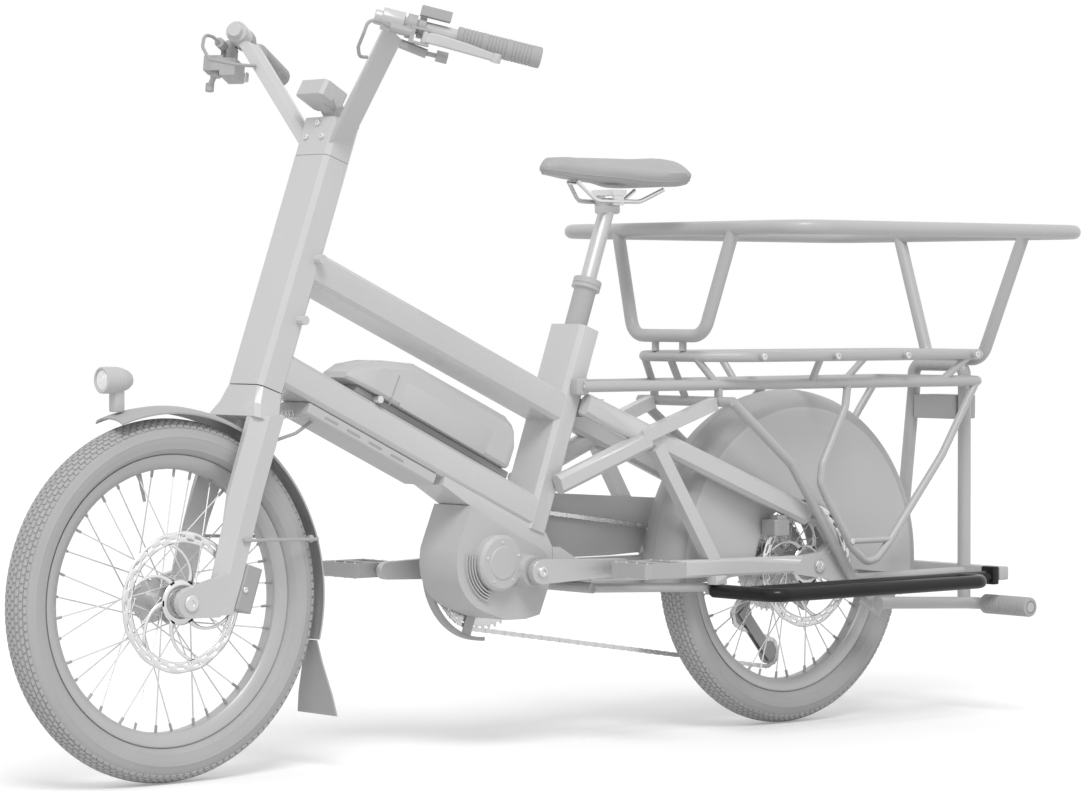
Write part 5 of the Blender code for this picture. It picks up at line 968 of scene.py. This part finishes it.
turned(guard, [(0.0, -0.067), (0.008, -0.067), (0.008, -0.0503), (0.0, -0.0503)], head(0, 0.006), STEER_UP,
       24)
wire = mirrored([(0.09, 0.0698, 0.085), (0.106, 0.0698, 0.085), (0.244, 0.0405, 0.08),
                 (0.2605, 0.018, 0.08)], ahead_of)
knobs = bmesh.new()
for sign in (-1, 1):
    turned(knobs, [(0.0, 0.0), (0.005, 0.0), (0.0056, 0.002), (0.0056, 0.006), (0.0, 0.007)],
           ahead_of(0.228, sign * 0.04, 0.081), ONWARD, 16)
show("front_fender_shell", merged(guard, pipes([wire], 0.0025, PLASTIC, 0.01, 10), knobs), "steering",
     "grey_plastic", PLASTIC, "front_fender", angle=34)
print("shells done")

# %% [markdown]
# The headlight is a small turned can with cooling rings behind, a foot, and a pressed lens. Lens and can
# are two pieces, because glass and plastic need different finishes.
# %% Headlight and rear light
lamp_place = ahead_of(-0.107, 0, 0.315)
can = bmesh.new()
turned(can, [(0.0, 0.0035), (0.015, 0.0035), (0.0158, 0.0004), (0.0172, 0.0), (0.0188, 0.0014),
             (0.019, 0.006), (0.019, 0.02), (0.0178, 0.021), (0.0178, 0.023), (0.0186, 0.024),
             (0.0186, 0.026), (0.0172, 0.0272), (0.0172, 0.029), (0.018, 0.03), (0.0174, 0.033),
             (0.014, 0.043), (0.01, 0.0485), (0.0, 0.049)], lamp_place, ONWARD, 48)
boxed(can, ahead_of(-0.08, 0, 0.2855), (0.008, 0.009, 0.0155), ease=0.0022)
show("headlight_can", can, "steering", "light_plastic", SHELL, "headlight", angle=30)
glass = lathed([(0.0, 0.0002), (0.004, 0.0003), (0.0044, 0.0009), (0.008, 0.0007), (0.0084, 0.0013),
                (0.0118, 0.0012), (0.0122, 0.0018), (0.015, 0.0026), (0.0148, 0.004), (0.0, 0.0042)],
               lamp_place, ONWARD, 40)
show("headlight_lens", glass, "steering", "light_plastic", LENS, angle=30)
back_lens = bmesh.new()
boxed(back_lens, behind(0.4143, 0, 0.25), (0.0012, 0.0415, 0.014), ease=0.001)
show("rear_light_lens", back_lens, "frame", "light_plastic", RED_LENS)
print("lights done")

# %% [markdown]
# A roller chain is two shapes that take turns: an outer link with wide plates and an inner link with its
# roller. The line it follows is worked out from the four wheels it wraps, as tangents joined by arcs. The
# line is cut into an even number of equal steps, and the odd and the even places get their own template.
# That number comes from the line without its closing span, so the links stand apart.
# %% Chain
CRANK = Vector((-0.06786, 0, 0.277))
GUIDE = Vector((0.48774, 0, 0.175))
TENSION = Vector((0.54314, 0, 0.11))
CHAIN_Y = 0.05
PITCH = 0.0127
PIN = [(0.0, -0.0021), (0.0018, -0.0021), (0.0018, 0.0021), (0.0, 0.0021)]
ROLLER = [(0.0033, -0.0008), (0.0033, 0.0008)]


def belt(wheels):
    headings = []
    for i, (centre, radius, spin) in enumerate(wheels):
        beyond, reach, other = wheels[(i + 1) % len(wheels)]
        gap = beyond - centre
        headings.append(atan2(gap.z, gap.x) + asin((spin * radius - other * reach) / gap.length))
    points = []
    for i, (centre, radius, spin) in enumerate(wheels):
        bend = (headings[i] - headings[i - 1]) * spin % (2 * pi)
        steps = max(3, int(bend / radians(5)))
        for k in range(steps + 1):
            heading = headings[i - 1] + spin * bend * k / steps
            out = Vector((sin(heading), 0, -cos(heading)))
            points.append(centre + out * radius * spin + ACROSS * CHAIN_Y)
    return points


def stepped(points, count):
    closed = points + [points[0]]
    lengths = [(closed[i + 1] - closed[i]).length for i in range(len(points))]
    total = sum(lengths)
    result = []
    i, gone = 0, 0.0
    for n in range(count):
        want = total * n / count
        while gone + lengths[i] < want:
            gone += lengths[i]
            i += 1
        result.append(closed[i].lerp(closed[i + 1], (want - gone) / lengths[i]))
    return result, total


def plate(mesh, y, thick, length, end, waist):
    outline = []
    for side in (1, -1):
        for degrees in (-70, -35, 0, 35, 70):
            angle = radians(degrees) + (0 if side > 0 else pi)
            outline.append((side * length / 2 + end * cos(angle), end * sin(angle)))
        outline.append((0.0, waist * side))
    rings = [[mesh.verts.new((x, y + h, z)) for x, z in outline] for h in (-thick / 2, thick / 2)]
    mesh.faces.new(rings[0])
    mesh.faces.new(list(reversed(rings[1])))
    for k in range(len(outline)):
        n = (k + 1) % len(outline)
        mesh.faces.new((rings[0][n], rings[0][k], rings[1][k], rings[1][n]))


def link(spread, barrel):
    mesh = bmesh.new()
    for sign in (-1, 1):
        plate(mesh, sign * spread, 0.0005, PITCH, 0.004, 0.0028)
        turned(mesh, barrel, Vector((sign * PITCH / 2, 0, 0)), ACROSS, 10)
    bmesh.ops.recalc_face_normals(mesh, faces=mesh.faces)
    return mesh


wheels = [(CRANK, 0.0965, -1), (REAR, 0.03275, -1), (GUIDE, 0.02375, 1), (TENSION, 0.02375, -1)]
route = belt(wheels)
open_length = sum((after - before).length for before, after in zip(route, route[1:]))
line, total = stepped(route, 2 * round(open_length / PITCH / 2))
places = []
for i, point in enumerate(line):
    beyond = line[(i + 1) % len(line)]
    lie = (beyond - point).normalized()
    places.append(((point + beyond) / 2, lie.cross(ACROSS), lie))
outer_links = strewn(link(0.0015, PIN), places[0::2], STEEL)
inner_links = strewn(link(0.001, ROLLER), places[1::2], STEEL)
show("chain_links", merged(outer_links, inner_links), "frame", "bright_steel", STEEL, "chain", angle=30)
print("chain links", len(line), "length", round(total, 4))

# %% [markdown]
# Sprockets are toothed discs. Each disc is turned plain, and one tooth is set round it as often as the
# links need. Eight sprockets of falling size make the cassette, with gaps between them that the light can
# enter; the chainring has four arms and their bolts.
# %% Chainring and cassette
RING_TEETH = 48
COG_RADII = (0.08, 0.07, 0.06, 0.051, 0.043, 0.035, 0.028, 0.023)
COG_SPACING = 0.004


def tooth(height, foot, thick):
    mesh = bmesh.new()
    base = ((-foot, -thick), (foot, -thick), (foot, thick), (-foot, thick))
    low = [mesh.verts.new((x, y, -0.001)) for x, y in base]
    top = [mesh.verts.new((x * 0.3, y * 0.5, height)) for x, y in base]
    for i in range(4):
        mesh.faces.new((low[i], low[(i + 1) % 4], top[(i + 1) % 4], top[i]))
    mesh.faces.new(top)
    return mesh


def round_places(centre, radius, y, count, shift=0.0):
    result = []
    for i in range(count):
        angle = 2 * pi * (i + shift) / count
        face = Vector((cos(angle), 0, sin(angle)))
        result.append((wheel_point(centre, radius, angle, y), face, Vector((-sin(angle), 0, cos(angle)))))
    return result


ring = bmesh.new()
turned(ring, [(0.074, 0.0487), (0.0745, 0.0485), (0.0905, 0.0487), (0.091, 0.05), (0.0905, 0.0513),
              (0.0745, 0.0515), (0.074, 0.0513)], CRANK, segments=96, loop=True)
turned(ring, [(0.0123, 0.0485), (0.024, 0.0485), (0.024, 0.0515), (0.018, 0.075), (0.0123, 0.075)], CRANK,
       segments=48, loop=True)
for i in range(4):
    angle = radians(45 + 90 * i)
    out = Vector((cos(angle), 0, sin(angle)))
    boxed(ring, CRANK + out * 0.048 + ACROSS * 0.05, (0.03, 0.0014, 0.008), out, ACROSS, 0.001)
    turned(ring, [(0.0, -0.0022), (0.0048, -0.0022), (0.0048, 0.0022), (0.0, 0.0022)],
           CRANK + out * 0.078 + ACROSS * 0.05, ACROSS, 16)
teeth = strewn(tooth(0.0065, 0.004, 0.0009), round_places(CRANK, 0.09, CHAIN_Y, RING_TEETH), STEEL)
show("chainring_toothed", merged(ring, teeth), "cranks", "bright_steel", STEEL, "chainring", angle=30)

stack = bmesh.new()
rows = []
for i, radius in enumerate(COG_RADII):
    y = CHAIN_Y + (i - 6) * COG_SPACING
    turned(stack, [(0.0168, y - 0.0019), (0.019, y - 0.0019), (0.019, y - 0.0009),
                   (radius - 0.0035, y - 0.0009), (radius - 0.0035, y + 0.0009), (0.019, y + 0.0009),
                   (0.019, y + 0.0019), (0.0168, y + 0.0019)], REAR, segments=64, loop=True)
    count = round(2 * pi * (radius + 0.002) / PITCH)
    rows += round_places(REAR, radius - 0.0042, y, count, 0.3 * i)
cogs = merged(stack, strewn(tooth(0.0046, 0.0034, 0.0008), rows, STEEL))
show("cassette_toothed", cogs, "cassette", "bright_steel", STEEL, "cassette", angle=30)
print("teeth", RING_TEETH + len(rows))

# %% [markdown]
# The saddle sits on a post that slides in another post. Both posts are turned. The saddle is lofted
# through rounded sections whose widths follow a smooth curve from nose to tail, and its sides draw in.
# %% Seat posts and saddle
SEAT_UP = Vector((0.33545, 0, 0.94206))


def seat(along):
    return ahead_of(0.668, 0, 0.0755) + SEAT_UP * along


lower_post = lathed([(0.0128, -0.17), (0.0174, -0.17), (0.0174, 0.0605), (0.019, 0.0625), (0.0225, 0.064),
                     (0.0225, 0.069), (0.0215, 0.07), (0.0225, 0.071), (0.0225, 0.079), (0.0215, 0.08),
                     (0.0128, 0.08)], seat(0.329), SEAT_UP, 48, loop=True)
show("seat_post_outer_turned", lower_post, "outer_post", "carrier_paint", CARRIER_PAINT, "seat_post_outer")
upper_post = bmesh.new()
turned(upper_post, [(0.0, -0.268), (0.0125, -0.268), (0.0125, -0.002), (0.012, 0.0), (0.0, 0.0)],
       seat(0.527), SEAT_UP, 48)
boxed(upper_post, seat(0.529), (0.017, 0.0125, 0.01), ease=0.0035)
turned(upper_post, [(0.0, -0.018), (0.0045, -0.018), (0.0055, -0.017), (0.0055, 0.017), (0.0045, 0.018),
                    (0.0, 0.018)], seat(0.539), ACROSS, 24)
show("seat_post_inner_turned", upper_post, "inner_post", "alloy", ALLOY, "seat_post_inner")

SADDLE_LEVELS = (
    (-0.002, 0.0045, 0.004, 0.008, 0.016), (0.0, 0.01, 0.006, 0.012, 0.013),
    (0.01, 0.019, 0.012, 0.026, 0.004), (0.06, 0.026, 0.017, 0.034, 0.002),
    (0.12, 0.04, 0.02, 0.038, 0.002), (0.175, 0.064, 0.024, 0.044, 0.002),
    (0.22, 0.077, 0.025, 0.046, 0.0), (0.25, 0.066, 0.024, 0.04, 0.002),
    (0.262, 0.04, 0.016, 0.024, 0.01),
)
NOSE_X = 0.01195
SADDLE_TOP = 0.913
SADDLE_SIDE = ((0.985, 0.3), (0.93, 0.62), (0.86, 0.9), (0.8, 1.0))


def eased(levels, steps):
    result = []
    for i in range(len(levels) - 1):
        before = levels[max(i - 1, 0)]
        here, there = levels[i], levels[i + 1]
        after = levels[min(i + 2, len(levels) - 1)]
        for s in range(steps):
            t = s / steps
            level = [here[0] + (there[0] - here[0]) * t]
            for k in range(1, 5):
                bow = (there[k] - before[k]) * t * (1 - t) ** 2 - (after[k] - here[k]) * t * t * (1 - t)
                level.append(here[k] + (there[k] - here[k]) * t * t * (3 - 2 * t) + bow * 0.3)
            result.append(level)
    return result + [levels[-1]]


saddle = bmesh.new()
rings = []
edge_left, edge_right = [], []
for reach, half, crown, depth, lift in eased(SADDLE_LEVELS, 5):
    top = SADDLE_TOP - lift
    outline = []
    for k in range(17):
        y = half * (k / 8 - 1)
        dent = 0.0014 * max(0.0, 1 - abs(y) / 0.01) if 0.05 < reach < 0.235 else 0.0
        outline.append((y, top - crown * (abs(y) / half) ** 2.4 - dent))
    side = [(half * share, top - crown - (depth - crown) * fall) for share, fall in SADDLE_SIDE]
    outline += side + [(-y, z) for y, z in reversed(side)]
    y, z = side[1]
    edge_left.append(Vector((NOSE_X + reach, -y, z)))
    edge_right.append(Vector((NOSE_X + reach, y, z)))
    rings.append([saddle.verts.new((NOSE_X + reach, y, z)) for y, z in outline])
for here, there in zip(rings, rings[1:]):
    for k in range(len(here)):
        n = (k + 1) % len(here)
        saddle.faces.new((here[k], here[n], there[n], there[k]))
saddle.faces.new(rings[0])
saddle.faces.new(rings[-1])
bmesh.ops.recalc_face_normals(saddle, faces=saddle.faces)
pad = show("saddle_cushion", saddle, "saddle", "saddle_cover", LEATHER, "saddle", angle=60)
seam = pipes([edge_left[2:] + list(reversed(edge_right[2:]))], 0.001, RUBBER, 0.0, 8)
show("saddle_seam", merged(seam), "saddle", "saddle_cover", RUBBER)
print("seat done")

# %% [markdown]
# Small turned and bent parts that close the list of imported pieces: both axles, the guard round the front
# sprocket and the two brake hoses that dive into the arms of the handlebar.
# %% Axles, guard and hoses
axle = lathed([(0.0, -0.0692), (0.004, -0.0692), (0.0046, -0.071), (0.0098, -0.071), (0.0115, -0.0698),
               (0.0115, -0.0672), (0.0075, -0.067), (0.0075, 0.068), (0.0, 0.068)], FRONT, segments=40)
show("front_axle_turned", axle, "steering", "bright_steel", STEEL, "front_axle", angle=30)
axle = lathed([(0.0, -0.0884), (0.0034, -0.0884), (0.004, -0.09), (0.0086, -0.09), (0.01, -0.089),
               (0.01, -0.0862), (0.006, -0.086), (0.006, 0.087), (0.0, 0.087)], REAR, segments=40)
show("rear_axle_turned", axle, "frame", "bright_steel", STEEL, "rear_axle", angle=30)
mark = lathed([(0.0101, -0.0886), (0.0113, -0.0884), (0.0113, -0.0864), (0.0101, -0.0862)], REAR,
              segments=40, loop=True)
show("rear_axle_red_ring", mark, "frame", "light_plastic", RED_LENS, angle=30)

shield = bmesh.new()
turned(shield, [(0.1075, 0.0453), (0.113, 0.0453), (0.1135, 0.046), (0.1135, 0.0593), (0.113, 0.06),
                (0.111, 0.06), (0.111, 0.048), (0.1075, 0.0475)], CRANK, segments=72, loop=True,
       start=radians(75), sweep=radians(195))
for degrees in (105, 180, 250):
    angle = radians(degrees)
    out = Vector((cos(angle), 0, sin(angle)))
    boxed(shield, CRANK + out * 0.0777 + ACROSS * 0.0463, (0.0327, 0.001, 0.009), out, ACROSS, 0.0006)
show("chain_guard_shell", shield, "frame", "grey_plastic", PLASTIC, "chain_guard", angle=34)

for side, sign in (("left", -1), ("right", 1)):
    hole = ahead_of(0.2748, sign * 0.1345, 0.777)
    hose = [bar(sign, 0.023, 0.03, -0.012), bar(sign, 0.01, 0.036, -0.008),
            bar(sign, -0.008, 0.043, -0.01), ahead_of(0.2085, sign * 0.195, 0.806),
            ahead_of(0.21, sign * 0.18, 0.787), hole + Vector((-0.04, sign * 0.016, 0.002)),
            hole + Vector((-0.024, 0, 0)), hole + Vector((-0.0125, 0, 0))]
    show("brake_hose_" + side + "_round", merged(pipes([hose], 0.0025, RUBBER, 0.012, 12)), "steering",
         "soft_rubber", RUBBER, "brake_hose_" + side)
print("small parts done")

# %% [markdown]
# Motor, battery and display get the marks of their real housings: a stepped round cover and arcs of
# cooling fins, a raised panel with a seam and a row of charge lights, a glass over the display. A coil
# spring and a hose run from the fork to the frame, and both are shown without a body, fixed where they
# are made.
# %% Housings
def middle_of(node):
    return sum((Vector(corner) for corner in NODES[node].bound_box), Vector()) / 8


DRUM = Vector((-0.12186, 0, 0.291))
steps = bmesh.new()
turned(steps, [(0.0, -0.064), (0.024, -0.064), (0.025, -0.0632), (0.0258, -0.0625), (0.0375, -0.0625),
               (0.0385, -0.0617), (0.0385, -0.06), (0.0, -0.06)], DRUM, segments=64)
for i in range(4):
    reach = 0.0465 + 0.0042 * i
    turned(steps, [(reach, -0.044), (reach, -0.053 + 0.0012 * i), (reach + 0.0018, -0.053 + 0.0012 * i),
                   (reach + 0.002, -0.044)], DRUM, segments=24, loop=True, start=radians(165),
           sweep=radians(88))
show("motor_cover_steps", steps, "frame", "grey_plastic", MOTOR_SHELL, angle=30)

LOWER_ALONG = Vector((0.90606, 0, -0.42315))
LOWER_UP = Vector((0.42315, 0, 0.90606))
lights = bmesh.new()
for i in range(5):
    spot = Vector((-0.1437, -0.0431, 0.4654)).lerp(Vector((-0.1765, -0.0431, 0.4807)), i / 4)
    boxed(lights, spot, (0.003, 0.0006, 0.0011), LOWER_ALONG, ACROSS, 0.0003)
middle = middle_of("battery")
panel = bmesh.new()
boxed(panel, middle + LOWER_ALONG * 0.02 - ACROSS * 0.043 + LOWER_UP * 0.004, (0.09, 0.0009, 0.02),
      LOWER_ALONG, ACROSS, 0.0008)
show("battery_side_panel", panel, "battery", "grey_plastic", SHELL)
gap_line = bmesh.new()
boxed(gap_line, middle - LOWER_ALONG * 0.088 - ACROSS * 0.043 + LOWER_UP * 0.002, (0.0008, 0.0005, 0.024),
      LOWER_ALONG, ACROSS, 0.0)
show("battery_cap_seam", gap_line, "battery", "grey_plastic", FITTINGS)
show("battery_charge_lights", lights, "battery", "light_plastic", CELL_LIGHTS)
# The key slot of the lock is not cut: a thin dark box stands for it, as painted shade inside the slot.
key_slot_shade_mark = bmesh.new()
boxed(key_slot_shade_mark, Vector((-0.34367, -0.0379, 0.54164)), (0.0026, 0.0004, 0.0007), UPWARD, ACROSS, 0.0)
show("battery_lock_slot", key_slot_shade_mark, "battery_lock", "bright_steel", DARK)

glass = bmesh.new()
display_middle = Vector((-0.41886, 0, 0.989))
display_up = Vector((0.5, 0, 0.866))
display_along = Vector((cos(radians(30)), 0, -sin(radians(30))))
boxed(glass, display_middle + display_up * 0.0126, (0.0175, 0.0255, 0.0006), display_along, ACROSS, 0.0004)
show("display_screen", glass, "steering", "grey_plastic", SCREEN)
cable = [(-0.42, -0.03, 0.983), (-0.4257, -0.045, 0.9715), (-0.415, -0.0455, 0.948),
         (-0.39, -0.0455, 0.938), (-0.374, -0.044, 0.947), (-0.388, -0.038, 0.944)]
show("display_cable", merged(pipes([cable], 0.0016, RUBBER, 0.008, 10)), "steering", "soft_rubber", RUBBER)

COIL_TURNS = 9
COIL_STEPS = 12
COIL_RADIUS = 0.0062
COIL_FRONT = (-0.52, 0, 0.5224)
COIL_BACK = (-0.4589, 0, 0.5214)
spring = []
for i in range(COIL_STEPS * COIL_TURNS + 1):
    angle = 2 * pi * i / COIL_STEPS
    middle = Vector(COIL_FRONT).lerp(Vector(COIL_BACK), i / (COIL_STEPS * COIL_TURNS))
    spring.append(middle + Vector((0, COIL_RADIUS * cos(angle), COIL_RADIUS * sin(angle))))
eye = bmesh.new()
boxed(eye, Vector((-0.444, 0, 0.5215)), (0.017, 0.005, 0.0055), ONWARD, ACROSS, 0.002)
coil = show("steering_spring", merged(pipes([spring], 0.0011, STEEL, 0.0, 8), eye), None, "bright_steel",
            STEEL, angle=50)
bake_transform(coil)
hose = [(-0.54, -0.012, 0.49), (-0.5135, -0.014, 0.4846), (-0.4772, -0.014, 0.494),
        (-0.4313, -0.012, 0.5195), (-0.415, -0.01, 0.526)]
hose_piece = show("crown_hose", merged(pipes([hose], 0.0026, RUBBER, 0.02, 12)), None, "soft_rubber",
                  RUBBER)
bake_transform(hose_piece)
# The slots of the cable cover are not cut: four thin dark boxes on its face stand for them, as painted
# shade inside the slots.
slot_shade_marks = bmesh.new()
middle = middle_of("cable_cover")
for i in range(4):
    boxed(slot_shade_marks, middle + LOWER_ALONG * (0.045 * i - 0.085) - ACROSS * 0.0361, (0.013, 0.0004, 0.0016),
          LOWER_ALONG, ACROSS, 0.0)
show("cable_cover_slots", slot_shade_marks, "frame", "grey_plastic", FITTINGS)
print("housings done")

# %% [markdown]
# Screws hold the whole bicycle together, and their bright rings are what the eye finds first on a pale
# frame. One screw head is modelled; each list below says where it sits, which way it faces and how large
# it is, and a list per body lets the moving parts keep their own screws.
# %% Screws and pins
LEFT = Vector((0, -1, 0))


def screw():
    return lathed([(0.0, 0.001), (0.0021, 0.001), (0.0024, 0.0028), (0.004, 0.0028), (0.0048, 0.0022),
                   (0.005, 0.001), (0.005, -0.0006), (0.0, -0.0006)], Vector(), UPWARD, 20)


on_frame = []
for x in (0.3566, 0.5218, 0.6838, 0.849):
    on_frame += [(Vector((x, side * 0.133, 0.6)), ACROSS * side, ONWARD, 1.15) for side in (-1, 1)]
for side in (-1, 1):
    on_frame.append((behind(0.034, side * 0.1275, 0.04), ACROSS * side, ONWARD, 0.9))
    on_frame.append((behind(-0.01, side * 0.1032, 0.0757), ACROSS * side, ONWARD, 1.1))
    on_frame.append((Vector((0.0459, side * 0.0592, 0.5555)), ACROSS * side, ONWARD, 0.9))
    for x, z in ((0.5064, 0.3413), (0.5523, 0.2812)):
        on_frame.append((Vector((x, side * 0.0862, z)), ACROSS * side, ONWARD, 0.75))
for i in range(5):
    angle = radians(20 + 72 * i)
    on_frame.append((wheel_point(DRUM, 0.032, angle, -0.0625), LEFT, ONWARD, 0.45))
show("frame_screws", merged(strewn(screw(), on_frame, STEEL)), "frame", "bright_steel", STEEL, angle=30)
on_steering = [(head(along, 0.0242, side), STEER_FORWARD, ACROSS, 1.0)
               for along, side in ((0.3835, -0.019), (0.3835, 0.019), (0.4045, 0.0))]
on_steering.append((Vector((-0.6076, -0.0667, 0.2745)), LEFT, ONWARD, 0.9))
show("steering_screws", merged(strewn(screw(), on_steering, STEEL)), "steering", "bright_steel", STEEL,
     angle=30)
caps = [(CRANK + ACROSS * side * 0.0905, ACROSS * side, ONWARD, 1.7) for side in (-1, 1)]
show("crank_screws", merged(strewn(screw(), caps, STEEL)), "cranks", "bright_steel", STEEL, angle=30)


def pin():
    return lathed([(0.0018, -0.0008), (0.0016, 0.0016), (0.0, 0.0018)], Vector(), UPWARD, 8)


for name, x, side in (("pedal_left", 0.09714, -1), ("pedal_right", -0.23286, 1)):
    studs = []
    for dx in (-0.036, 0.036):
        for dy in (-0.036, -0.012, 0.012, 0.036):
            for up in (-1, 1):
                studs.append((Vector((x + dx, side * 0.149 + dy, 0.277 + up * 0.011)), Vector((0, 0, up)),
                              ONWARD))
    show(name + "_pins", merged(strewn(pin(), studs, STEEL)), name, "bright_steel", STEEL)
print("screws", len(on_frame) + len(on_steering) + len(caps))
